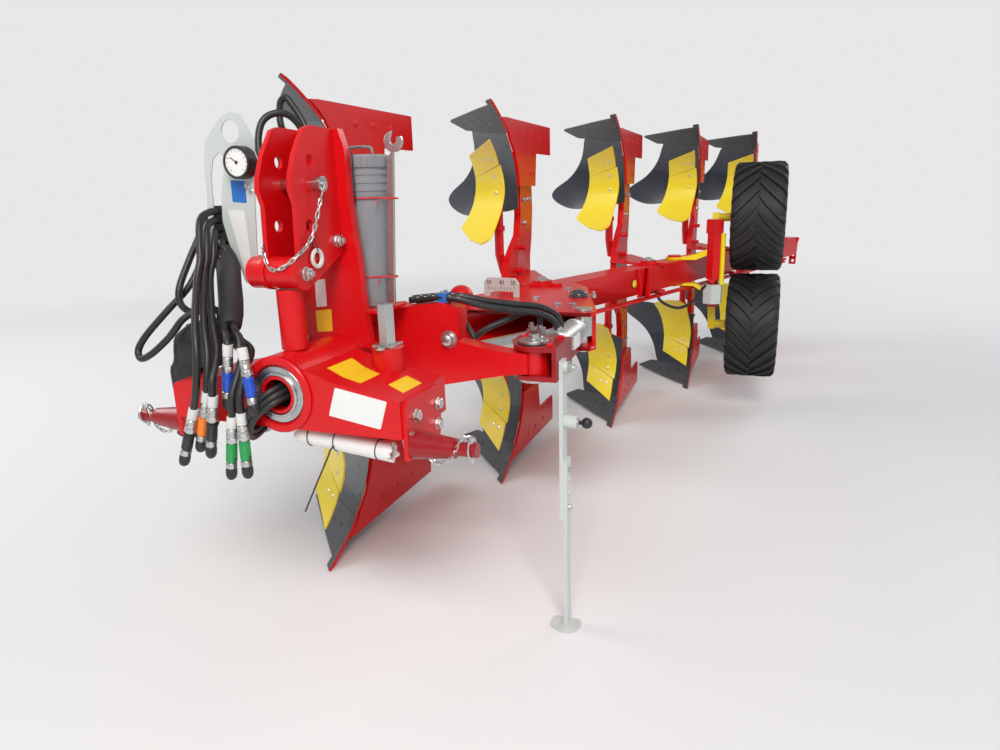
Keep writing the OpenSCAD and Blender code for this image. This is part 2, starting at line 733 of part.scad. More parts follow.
module wheel_carrier() {
    color("red") placed() {
        translate([carrier_at.x + post_in, carrier_at.y, 0]) {
            cover_part(cover_z[0], cover_z[1], 0);
            cover_part(cover_z[1] - 1, cover_z[2], 9);
            translate([0, -40, 0]) rotate([90, 0, 0]) linear_extrude(8)
                polygon([[8, beam_z + cover_z[0] + 1], [67, beam_z + cover_z[0] + 1],
                    [38, beam_z + cover_z[0] - 34]]);
            // Post behind the cover
            translate([10, 48, wheel_mid_z - 200]) cube([cover_w - 20, 60, 420]);
        }
        translate([carrier_at.x, carrier_at.y, beam_z - plate_z - console_t - 6])
            cylinder(h = 2 * (plate_z + console_t + 6), d = console_pin_d);
        translate([carrier_at.x, carrier_at.y, beam_z + plate_z + console_t + run_gap])
            cylinder(h = 10, d = 78);
    }
}

module height_box() {
    color("white") placed() translate([carrier_at.x + post_in, carrier_at.y,
        beam_z + cover_z[0] - 34 - run_gap - 116])
        linear_extrude(116) polygon([[-12, -34], [cover_w / 2, -56], [cover_w + 16, -34],
            [cover_w + 16, 48 - run_gap], [-12, 48 - run_gap]]);
}

// Arms of the depth wheels, their axles and the height cylinder
arm_x = [8, 50];

module wheel_arms() {
    color("gold") placed() translate([carrier_at.x + post_in, carrier_at.y, wheel_mid_z]) {
        for (s = [-1, 1]) axle_arm(s);
        translate([cover_w + run_gap + 14, -30, beam_z - wheel_mid_z + cover_z[0] - 34])
            cylinder(h = cover_z[1] - cover_z[0] + 33 - run_gap, d = 28);
        translate([cover_w + run_gap, -20, -50]) cube([22, 98, 40]);
    }
}

module axle_arm(s) {
    along = wheel_at.y - carrier_at.y;
    out = wheel_at.x - carrier_at.x - post_in;
    translate([arm_x[0], 0, 0]) rotate([90, 0, 90]) linear_extrude(arm_x[1] - arm_x[0]) polygon([
        [108 + run_gap, s * 60], [108 + run_gap, s * 205], [along - 24, s * (axle_z + 30)],
        [along + 26, s * (axle_z + 26)], [along + 30, s * (axle_z - 30)], [along - 20, s * (axle_z - 60)],
        [140, s * 60]]);
    translate([arm_x[1] - 1, along, s * axle_z]) rotate([0, 90, 0])
        cylinder(h = out - arm_x[1] + 41, d = 50);
}

// Tyre: one skin whose rings carry the lugs. Each row is [place across, radius, lug share]
tyre_section = [
    [-0.36, rim_d / 2, 0], [-0.44, rim_d / 2 + 26, 0], [-0.5, 0.62 * tyre_d / 2 + 20, 0],
    [-0.48, tyre_d / 2 - lug_h - 22, 1], [-0.42, tyre_d / 2 - lug_h - 4, 1],
    [-0.2, tyre_d / 2 - lug_h, 1], [0.0, tyre_d / 2 - lug_h, 1], [0.2, tyre_d / 2 - lug_h, 1],
    [0.42, tyre_d / 2 - lug_h - 4, 1], [0.48, tyre_d / 2 - lug_h - 22, 1],
    [0.5, 0.62 * tyre_d / 2 + 20, 0], [0.44, rim_d / 2 + 26, 0], [0.36, rim_d / 2, 0]];
lug_sweep = 1.1;

function lug_on(k, side) = (k + (side > 0 ? 2 : 0)) % 4 < 2 ? 1 : 0;

module tyre() {
    steps = 4 * lug_count;
    rows = len(tyre_section);
    points = [for (k = [0:steps - 1]) for (r = tyre_section)
        let (side = r[0] >= 0 ? 1 : -1,
            a = 360 * (k - abs(r[0]) * 2 * lug_sweep * 2) / steps,
            rr = r[1] + r[2] * lug_h * (abs(r[0]) < 0.1 ? 0.5 : 1) * lug_on(k, side))
        [r[0] * tyre_w, rr * cos(a), rr * sin(a)]];
    faces = [for (k = [0:steps - 1], j = [0:rows - 1])
        let (a = k * rows + j, b = k * rows + (j + 1) % rows,
            c = ((k + 1) % steps) * rows + (j + 1) % rows, d = ((k + 1) % steps) * rows + j)
        each [[a, c, b], [a, d, c]]];
    polyhedron(points, faces);
}

module rim() {
    rotate([0, 90, 0]) difference() {
        rotate_extrude($fn = 64) polygon([[25 + run_gap, -60], [60, -60], [60, -20], [130, -12],
            [130, -0.4 * tyre_w], [rim_d / 2 - run_gap, -0.4 * tyre_w], [rim_d / 2 - run_gap, 0.4 * tyre_w],
            [140, 0.4 * tyre_w], [140, 0], [60, -6], [60, 30], [25 + run_gap, 30]]);
    }
}

module at_wheel(s) {
    placed() translate([wheel_at.x, wheel_at.y, wheel_mid_z + s * axle_z]) children();
}

module stand() {
    color("white") placed() translate([stand_at.x, stand_at.y, 0]) {
        difference() {
            translate([-12, -stand_w / 2, 380]) cube([stand_t, stand_w, stand_hinge_z - 380 + 22]);
            translate([-20, 0, stand_hinge_z]) rotate([0, 90, 0]) cylinder(h = 40, d = 20 + 2 * run_gap);
        }
        translate([0, -stand_w / 2, 6]) cube([stand_t, stand_w, 574]);
        translate([0, 0, 0]) linear_extrude(8) difference() {
            circle(r = 50);
            translate([-60, 30]) square([120, 40]);
        }
        translate([stand_t - 12, 0, stand_hinge_z]) rotate([0, 90, 0]) cylinder(h = 12, d = 34);
        translate([-30, 0, stand_hinge_z]) rotate([0, 90, 0]) cylinder(h = 30, d = 19.4);
        translate([0, 0, lock_z]) rotate([0, 90, 0]) cylinder(h = lock_h, d = 40);
    }
}

// Ball knob of the stand's lock pin
lock_z = 700;
lock_h = 40;

module stand_knob() {
    color("black") placed() translate([stand_at.x + lock_h + run_gap, stand_at.y, lock_z])
        rotate([0, 90, 0]) {
            cylinder(h = 20, d = 12);
            translate([0, 0, 28]) sphere(d = 34);
        }
}

// Free hoses: routes from the panel's slot, the last two points being those of the coupling's axis
hose_d = 20;
hose_y = panel_y + run_gap;
coupling_h = 149;
coupling_d = 30;
free_routes = [
    [[10, hose_y, 1345], [10, -362, 1345], [15, -408, 1326], [32, -440, 1268], [44, -459, 1221],
        [51, -488, 1168], [92, -558, 1065], [118, -594, 989], [113, -606, 904], [90, -604, 833],
        [26, -604, 669]],
    [[10, hose_y, 1320], [10, -354, 1320], [18, -388, 1306], [33, -414, 1264], [43, -433, 1221],
        [50, -462, 1168], [99, -534, 1063], [131, -570, 988], [139, -592, 918], [127, -590, 869],
        [79, -590, 710]],
    [[11, hose_y, 1294], [11, -348, 1294], [22, -368, 1286], [34, -388, 1262], [43, -407, 1221],
        [49, -436, 1168], [106, -510, 1062], [148, -552, 988], [165, -602, 919], [158, -602, 861],
        [125, -602, 701]],
    [[2, hose_y, 1262], [2, -357, 1262], [18, -372, 1244], [38, -378, 1221], [54, -382, 1200],
        [104, -447, 1110], [154, -520, 1044], [184, -550, 1034], [201, -568, 1012], [174, -569, 832]],
    [[3, hose_y, 1236], [3, -344, 1236], [14, -354, 1222], [28, -362, 1203], [44, -367, 1182],
        [95, -435, 1091], [145, -508, 1025], [206, -528, 985], [226, -566, 945], [225, -604, 882],
        [219, -604, 838], [188, -604, 647]],
    [[30, hose_y, 1236], [30, -344, 1236], [42, -350, 1222], [54, -352, 1203], [64, -352, 1182],
        [115, -421, 1091], [165, -494, 1025], [232, -520, 990], [249, -567, 950], [247, -600, 883],
        [245, -601, 845], [244, -602, 656]],
    [[25, hose_y, 1262], [25, -347, 1262], [40, -361, 1248], [62, -364, 1224], [76, -367, 1200],
        [124, -433, 1110], [174, -506, 1044], [222, -545, 1026], [258, -582, 1004], [292, -600, 831]]];

// Direction of a coupling, and its upper face, where the hose ends
function coupling_way(r) = unit(r[len(r) - 1] - r[len(r) - 2]);
function coupling_face(r) = r[len(r) - 1] - coupling_h * coupling_way(r);
routes = [for (r = free_routes) [for (k = [0:len(r) - 1]) k < len(r) - 1 ? r[k] : coupling_face(r)]];

// Slack hoses that loop out from the rubber block and end on the bag
loop_y = hose_y + 12;
loops = [
    [[grommet_x, loop_y, 1335], [-36, loop_y, 1335], [-52, -321, 1318], [-58, -345, 1275],
        [-62, -392, 1210], [-66, -436, 1140], [-62, -446, 1095], [-44, -432, 1068], [-20, -410, 1072],
        [8, -398, 1072], [26, -394, 1062], [26, -394, bag_top]],
    [[grommet_x, loop_y, 1250], [-36, loop_y, 1250], [-56, -320, 1238], [-62, -350, 1195],
        [-72, -400, 1132], [-113, -450, 1070], [-170, -480, 1005], [-196, -494, 962],
        [-180, -504, 938], [-140, -500, 954], [-91, -486, 994], [-60, -484, 1022], [-38, -474, 1050],
        [-16, -456, 1068], [6, -440, 1072], [14, -434, 1062], [14, -434, bag_top]]];

module hose(points, across = [1, 0, 0]) {
    sides = 8;
    n = len(points);
    rings = [for (k = [0:n - 1])
        let (t = unit(points[min(k + 1, n - 1)] - points[max(k - 1, 0)]),
            u = unit(cross(t, across)), v = cross(t, u))
        [for (j = [0:sides - 1])
            points[k] + hose_d / 2 * (cos(360 * j / sides) * u + sin(360 * j / sides) * v)]];
    faces = concat([[for (j = [0:sides - 1]) j]],
        [for (k = [0:n - 2], j = [0:sides - 1])
            let (a = k * sides + j, b = k * sides + (j + 1) % sides)
            each [[a, b + sides, b], [a, a + sides, b + sides]]],
        [[for (j = [sides - 1:-1:0]) (n - 1) * sides + j]]);
    color("black") placed() polyhedron([for (r = rings) each r], faces);
}

module couplings() {
    color("silver") placed() for (r = free_routes) {
        way = coupling_way(r);
        translate(coupling_face(r)) rotate([0, acos(way.z), atan2(way.y, way.x)])
            cylinder(h = coupling_h, d = coupling_d);
    }
}

headstock();
tower();
link_pins();
top_link_pin();
turnover_cylinder();
tool_post();
container();
wrench();
hose_panel();
grommet();
bag();
gauge();
turnover_shaft();
turnover_arm();
fork();
pivot_pin();
beam();
spindle();
width_cylinder();
scale_plate();
steering_rod();
console(1);  // console_1
console(2);  // console_2
console(3);  // console_3
console(4);  // console_4
console(5);  // console_5
at_body(1) bottoms();  // bottoms_1
at_body(2) bottoms();  // bottoms_2
at_body(3) bottoms();  // bottoms_3
at_body(4) bottoms();  // bottoms_4
at_body(5) bottoms();  // bottoms_5
at_body(1) skimmers();  // skimmers_1
at_body(2) skimmers();  // skimmers_2
at_body(3) skimmers();  // skimmers_3
at_body(4) skimmers();  // skimmers_4
at_body(5) skimmers();  // skimmers_5
wheel_carrier();
height_box();
wheel_levers();
wheel_arms();
color("black") at_wheel(-1) tyre();  // tyre_lower
color("gray") at_wheel(-1) rim();  // rim_lower
color("black") at_wheel(1) tyre();  // tyre_upper
color("gray") at_wheel(1) rim();  // rim_upper
stand();
stand_knob();
hose(routes[0]);  // hose_1
hose(routes[1]);  // hose_2
hose(routes[2]);  // hose_3
hose(routes[3]);  // hose_4
hose(routes[4]);  // hose_5
hose(routes[5]);  // hose_6
hose(routes[6]);  // hose_7
hose(loops[0], [0, 1, 0]);  // hose_8
hose(loops[1], [0, 1, 0]);  // hose_9
couplings();
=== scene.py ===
import json
import math
import random

import bmesh
import bpy
from mathutils import Matrix, Quaternion, Vector


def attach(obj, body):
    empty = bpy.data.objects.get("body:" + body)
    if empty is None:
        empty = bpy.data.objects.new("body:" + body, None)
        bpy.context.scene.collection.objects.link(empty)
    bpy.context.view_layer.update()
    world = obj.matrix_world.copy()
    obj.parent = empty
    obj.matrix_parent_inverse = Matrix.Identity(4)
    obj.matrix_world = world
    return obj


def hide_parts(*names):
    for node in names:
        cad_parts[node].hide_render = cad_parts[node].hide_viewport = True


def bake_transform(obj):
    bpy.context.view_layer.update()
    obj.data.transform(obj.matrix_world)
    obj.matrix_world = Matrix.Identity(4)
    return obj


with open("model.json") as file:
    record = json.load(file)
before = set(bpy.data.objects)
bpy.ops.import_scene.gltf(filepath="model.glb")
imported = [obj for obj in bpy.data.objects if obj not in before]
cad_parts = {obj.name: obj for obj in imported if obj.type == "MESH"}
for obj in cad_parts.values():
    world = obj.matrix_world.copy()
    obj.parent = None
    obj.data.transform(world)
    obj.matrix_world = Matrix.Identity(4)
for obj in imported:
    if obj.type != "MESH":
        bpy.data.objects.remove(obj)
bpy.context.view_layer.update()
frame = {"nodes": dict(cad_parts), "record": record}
NODES = frame["nodes"]
BODIES = frame["record"]["behaviour"]["bodies"]
BODY_OF = {node: body for body, nodes in BODIES.items() for node in nodes}
SLOT_OF = {part["node"]: part["material_slot"] for part in frame["record"]["subparts"]}
random.seed(7)

# Millimetres are measured from the front lower body's tip; the frame is in metres from its own zero
SHIFT = Vector((-0.5761965, -2.0921742, 0.0))
BEAM_Z = 881.0
BEAM_TOP = BEAM_Z + 70
BEAM_ANGLE = math.radians(19.4)
BODY_PITCH = 1020.0
STEP = (BODY_PITCH * math.sin(BEAM_ANGLE), BODY_PITCH * math.cos(BEAM_ANGLE))
FURROWS = 5
PIN_AT = (195.0, 170.0)
BEAM_X0 = PIN_AT[0] - PIN_AT[1] * math.tan(BEAM_ANGLE)
AXIS_X = 332.0
PIVOT_AT = (862.0, -17.0)
STAND_AT = (964.0, -41.0)
PANEL_Y = -330.0
CARRIER_Y = PIN_AT[1] + 2.318 * STEP[1]
CARRIER_AT = (BEAM_X0 + CARRIER_Y * math.tan(BEAM_ANGLE), CARRIER_Y)
WHEEL_AT = (CARRIER_AT[0] + 465, CARRIER_AT[1] + 200)
WHEEL_MID_Z = BEAM_Z - 22.5
AXLE_Z = 330.5

# FRONT is towards the tractor, and LEFT and RIGHT are the photograph's
UP = (0, 0, 1)
FRONT = (0, -1, 0)
RIGHT = (1, 0, 0)
LEFT = (-1, 0, 0)


def at(x, y, z):
    """A place in working millimetres, as the frame's metres."""
    return Vector((x / 1000, y / 1000, z / 1000)) + SHIFT


def in_scene(name, data):
    """A new object of this data, in the scene."""
    made = bpy.data.objects.new(name, data)
    bpy.context.scene.collection.objects.link(made)
    return made


# Camera of the photograph
CAMERA_LENS = 25.239
CAMERA_AT = (1504.5, -1994.1, 1378.1)
CAMERA_TURN = (-20.910, -14.646, -1.664)


def make_camera():
    """The photograph's camera, turned by yaw, pitch and roll in degrees."""
    data = bpy.data.cameras.new("camera")
    data.lens = CAMERA_LENS
    data.sensor_width = 36.0
    camera = in_scene("camera", data)
    yaw, pitch, roll = (math.radians(a) for a in CAMERA_TURN)
    forward = Vector((math.sin(yaw) * math.cos(pitch), math.cos(yaw) * math.cos(pitch), math.sin(pitch)))
    right = Vector((math.cos(yaw), -math.sin(yaw), 0.0))
    up = right.cross(forward)
    right, up = right * math.cos(roll) + up * math.sin(roll), up * math.cos(roll) - right * math.sin(roll)
    turn = Matrix((right, up, -forward)).transposed().to_4x4()
    camera.matrix_world = Matrix.Translation(at(*CAMERA_AT)) @ turn
    bpy.context.scene.camera = camera


make_camera()


# Shader groups and finishes
def new_group(name, colours, numbers):
    """A finish's node group with the inputs named, and with colour, roughness and height as outputs."""
    group = bpy.data.node_groups.new(name, "ShaderNodeTree")
    for end, kind, labels in (("INPUT", "Color", colours), ("INPUT", "Float", numbers),
                              ("OUTPUT", "Color", ("Colour",)), ("OUTPUT", "Float", ("Roughness", "Height"))):
        for label in labels:
            group.interface.new_socket(label, in_out=end, socket_type="NodeSocket" + kind)
    return group, group.nodes.new("NodeGroupInput"), group.nodes.new("NodeGroupOutput")


def feed(tree, value, socket):
    """Links another node's output to a socket, or sets the socket to a number."""
    if hasattr(value, "is_linked"):
        tree.links.new(value, socket)
    else:
        socket.default_value = value


def noise(tree, where, scale, detail=3.0, rough=0.5):
    """Soft noise between 0 and 1."""
    node = tree.nodes.new("ShaderNodeTexNoise")
    node.inputs["Detail"].default_value = detail
    node.inputs["Roughness"].default_value = rough
    tree.links.new(where, node.inputs["Vector"])
    feed(tree, scale, node.inputs["Scale"])
    return node.outputs["Fac"]


def math_node(tree, operation, a, b, clamp=False):
    """The sum, product or the like of two numbers."""
    node = tree.nodes.new("ShaderNodeMath")
    node.operation = operation
    node.use_clamp = clamp
    for socket, value in zip(node.inputs, (a, b)):
        feed(tree, value, socket)
    return node.outputs[0]


def spread(tree, value, low, high, to_low, to_high):
    """A value's span from low to high, stretched to another span and held inside it."""
    node = tree.nodes.new("ShaderNodeMapRange")
    tree.links.new(value, node.inputs["Value"])
    for label, number in (("From Min", low), ("From Max", high), ("To Min", to_low), ("To Max", to_high)):
        node.inputs[label].default_value = number
    return node.outputs["Result"]


def mixed(tree, share, a, b):
    """Colour a where share is 0, and colour b where it is 1."""
    node = tree.nodes.new("ShaderNodeMix")
    node.data_type = "RGBA"
    for number, value in ((0, share), (6, a), (7, b)):
        tree.links.new(value, node.inputs[number])
    return node.outputs[2]


def object_place(tree):
    """Where a point is on its object, in metres."""
    return tree.nodes.new("ShaderNodeTexCoord").outputs["Object"]


def end_group(group, given, out, colour, wear, wear_rough, change, height):
    """Links a finish's outputs: the roughness changes a little all over, and rises where it is worn."""
    rough = math_node(group, "ADD", given.outputs["Roughness"], change)
    rough = math_node(group, "ADD", rough, math_node(group, "MULTIPLY", wear, wear_rough), True)
    for label, value in (("Colour", colour), ("Roughness", rough), ("Height", height)):
        group.links.new(value, out.inputs[label])
    return group


def make_paint_group():
    """Enamel with clouds of a second shade, dust on what faces up, and a fine peel."""
    group, given, out = new_group("paint film", ("Colour", "Shade", "Dust Colour"),
                                  ("Roughness", "Dust", "Peel Scale"))
    place = object_place(group)
    cloud = spread(group, noise(group, place, 5.0, 4.0, 0.6), 0.35, 0.75, 0.0, 1.0)
    colour = mixed(group, cloud, given.outputs["Colour"], given.outputs["Shade"])
    geometry = group.nodes.new("ShaderNodeNewGeometry")
    split = group.nodes.new("ShaderNodeSeparateXYZ")
    group.links.new(geometry.outputs["Normal"], split.inputs[0])
    upward = spread(group, split.outputs["Z"], 0.2, 0.95, 0.15, 1.0)
    specks = spread(group, noise(group, place, 42.0, 6.0, 0.7), 0.48, 0.72, 0.0, 1.0)
    dust = math_node(group, "MULTIPLY", math_node(group, "MULTIPLY", upward, specks),
                     given.outputs["Dust"], True)
    dusty = mixed(group, dust, colour, given.outputs["Dust Colour"])
    smear = spread(group, noise(group, place, 16.0, 3.0), 0.3, 0.7, -0.02, 0.03)
    peel = noise(group, place, given.outputs["Peel Scale"], 2.0)
    return end_group(group, given, out, dusty, dust, 0.5, smear, peel)


def make_grain_group():
    """Moulded plastic, rubber or cloth: a fine grain, and paler scuffs."""
    group, given, out = new_group("moulded grain", ("Colour", "Pale"), ("Roughness", "Scuff", "Grain Scale"))
    place = object_place(group)
    scuff = spread(group, noise(group, place, 24.0, 6.0, 0.7), 0.45, 0.8, 0.0, 1.0)
    scuff = math_node(group, "MULTIPLY", scuff, given.outputs["Scuff"], True)
    scuffed = mixed(group, scuff, given.outputs["Colour"], given.outputs["Pale"])
    grain = noise(group, place, given.outputs["Grain Scale"], 4.0, 0.6)
    change = spread(group, grain, 0.3, 0.7, -0.06, 0.06)
    return end_group(group, given, out, scuffed, scuff, 0.2, change, grain)


def make_metal_group():
    """Bare or plated metal: fine lines from drawing or turning, and dull stains."""
    group, given, out = new_group("drawn metal", ("Colour", "Stain"), ("Roughness", "Stains", "Line Scale"))
    place = object_place(group)
    stretch = group.nodes.new("ShaderNodeMapping")
    stretch.inputs["Scale"].default_value = (1.0, 0.12, 1.0)
    group.links.new(place, stretch.inputs["Vector"])
    lines = noise(group, stretch.outputs["Vector"], given.outputs["Line Scale"], 2.0)
    stain = spread(group, noise(group, place, 30.0, 5.0, 0.65), 0.45, 0.75, 0.0, 1.0)
    stain = math_node(group, "MULTIPLY", stain, given.outputs["Stains"], True)
    stained = mixed(group, stain, given.outputs["Colour"], given.outputs["Stain"])
    change = spread(group, lines, 0.3, 0.7, -0.08, 0.08)
    return end_group(group, given, out, stained, stain, 0.25, change, lines)


PAINT_FILM = make_paint_group()
MOULDED_GRAIN = make_grain_group()
DRAWN_METAL = make_metal_group()


def finish_of(name, group, values, bump, strength=0.6, **sockets):
    """A material from one of the groups; bump is in metres, and sockets are set on the shader itself."""
    material = bpy.data.materials.new(name)
    material.use_nodes = True
    tree = material.node_tree
    shader = tree.nodes["Principled BSDF"]
    effect = tree.nodes.new("ShaderNodeGroup")
    effect.node_tree = group
    for label, value in values.items():
        effect.inputs[label].default_value = value
    tree.links.new(effect.outputs["Colour"], shader.inputs["Base Color"])
    tree.links.new(effect.outputs["Roughness"], shader.inputs["Roughness"])
    bump_node = tree.nodes.new("ShaderNodeBump")
    bump_node.inputs["Strength"].default_value = strength
    bump_node.inputs["Distance"].default_value = bump
    tree.links.new(effect.outputs["Height"], bump_node.inputs["Height"])
    tree.links.new(bump_node.outputs["Normal"], shader.inputs["Normal"])
    for label, value in sockets.items():
        shader.inputs[label.replace("_", " ")].default_value = value
    return material


DUST_COLOUR = (0.45, 0.40, 0.33, 1)
PAINT_BUMP = 0.00012
METAL_BUMP = 0.00006
METAL_LINES = 300.0


def paint(name, colour, shade, roughness, dust=0.25, peel=320.0, coat=0.0):
    """Enamel or lacquer, with a clear coat where coat is above 0."""
    values = {"Colour": (*colour, 1), "Shade": (*shade, 1), "Dust Colour": DUST_COLOUR,
              "Roughness": roughness, "Dust": dust, "Peel Scale": peel}
    return finish_of(name, PAINT_FILM, values, PAINT_BUMP, 0.22, Coat_Weight=coat, Coat_Roughness=0.08,
                     Specular_IOR_Level=0.36)


def moulded(name, colour, pale, roughness, scuff=0.3, grain=500.0, bump=0.0002):
    """Plastic, rubber, paper or coated cloth."""
    values = {"Colour": (*colour, 1), "Pale": (*pale, 1), "Roughness": roughness, "Scuff": scuff,
              "Grain Scale": grain}
    return finish_of(name, MOULDED_GRAIN, values, bump)


def metal(name, colour, stain, roughness, stains=0.3):
    """Zinc plate or machined steel."""
    values = {"Colour": (*colour, 1), "Stain": (*stain, 1), "Roughness": roughness, "Stains": stains,
              "Line Scale": METAL_LINES}
    return finish_of(name, DRAWN_METAL, values, METAL_BUMP, Metallic=1.0)


FINISH = {
    "red_paint": paint("red enamel", (0.66, 0.003, 0.006), (0.60, 0.003, 0.006), 0.33, 0.02, coat=0.08),
    "dark_red_paint": paint("dark red enamel", (0.34, 0.004, 0.008), (0.26, 0.004, 0.008), 0.32, 0.06,
                            coat=0.25),
    "yellow_paint": paint("yellow enamel", (0.92, 0.72, 0.003), (0.88, 0.66, 0.003), 0.30, 0.03, coat=0.25),
    "white_paint": paint("white enamel", (0.58, 0.62, 0.60), (0.54, 0.58, 0.56), 0.38, 0.06, coat=0.15),
    # The mouldboards' lacquer: dark graphite is its own colour, and its blue tint is a painted reflection of
    # the sky
    "graphite_steel": paint("graphite lacquer with painted sky tint", (0.012, 0.014, 0.024), (0.018, 0.020, 0.031), 0.24, 0.02,
                            peel=120.0, coat=0.2),
    "zinc": metal("zinc plate", (0.62, 0.63, 0.62), (0.40, 0.38, 0.33), 0.34),
    "bright_steel": metal("machined steel", (0.55, 0.56, 0.57), (0.30, 0.27, 0.23), 0.28, 0.4),
    "tyre": moulded("tread rubber", (0.014, 0.014, 0.015), (0.07, 0.068, 0.062), 0.60, 0.22, 160.0, 0.0005),
    "hose_rubber": moulded("hose rubber", (0.018, 0.018, 0.019), (0.07, 0.07, 0.07), 0.42, 0.25, 420.0),
    "grey_plastic": moulded("grey moulding", (0.22, 0.23, 0.25), (0.36, 0.36, 0.36), 0.42, 0.25),
    "black_cloth": moulded("coated cloth", (0.020, 0.020, 0.022), (0.07, 0.07, 0.07), 0.62, 0.3, 900.0,
                           0.0006),
    "black_plastic": moulded("black moulding", (0.018, 0.018, 0.020), (0.07, 0.07, 0.07), 0.40, 0.2),
}
# Share and point: a paler copy of the board's lacquer, painted light standing in for the sun on them
SHARE_PAINTED_LIGHT = paint("share lacquer with painted light", (0.045, 0.046, 0.052), (0.06, 0.06, 0.066), 0.36, 0.05, peel=180.0)
BLUE_CAP = moulded("blue sleeve", (0.012, 0.08, 0.52), (0.05, 0.16, 0.6), 0.35, 0.2)
GREEN_CAP = moulded("green sleeve", (0.010, 0.30, 0.07), (0.05, 0.4, 0.15), 0.35, 0.2)
ORANGE_CAP = moulded("orange sleeve", (0.85, 0.20, 0.01), (0.9, 0.35, 0.1), 0.35, 0.2)
WHITE_CAP = moulded("white sleeve", (0.70, 0.70, 0.68), (0.5, 0.5, 0.47), 0.40, 0.3)
LABEL_WHITE = moulded("white label", (0.80, 0.80, 0.78), (0.6, 0.6, 0.57), 0.42, 0.15, 200.0, 0.00003)
LABEL_YELLOW = moulded("yellow label", (0.90, 0.58, 0.01), (0.8, 0.6, 0.2), 0.40, 0.15, 200.0, 0.00003)
LABEL_BLUE = moulded("blue label", (0.02, 0.16, 0.55), (0.1, 0.3, 0.6), 0.40, 0.15, 200.0, 0.00003)
DIAL_WHITE = moulded("dial face", (0.85, 0.85, 0.84), (0.8, 0.8, 0.78), 0.5, 0.05, 200.0, 0.00002)
SMOKE = moulded("smoky plastic", (0.05, 0.05, 0.055), (0.12, 0.12, 0.12), 0.22, 0.1, 200.0, 0.00003)
RED_TIE = moulded("red tie", (0.62, 0.02, 0.02), (0.7, 0.2, 0.2), 0.45, 0.2)


# Forms
def angles(count):
    """Equal steps once round, in radians."""
    return [2 * math.pi * k / count for k in range(count)]


def circle(middle, radius, side, across, steps):
    """Points round a middle, in the plane of two directions."""
    return [middle + radius * (math.cos(t) * side + math.sin(t) * across) for t in angles(steps)]


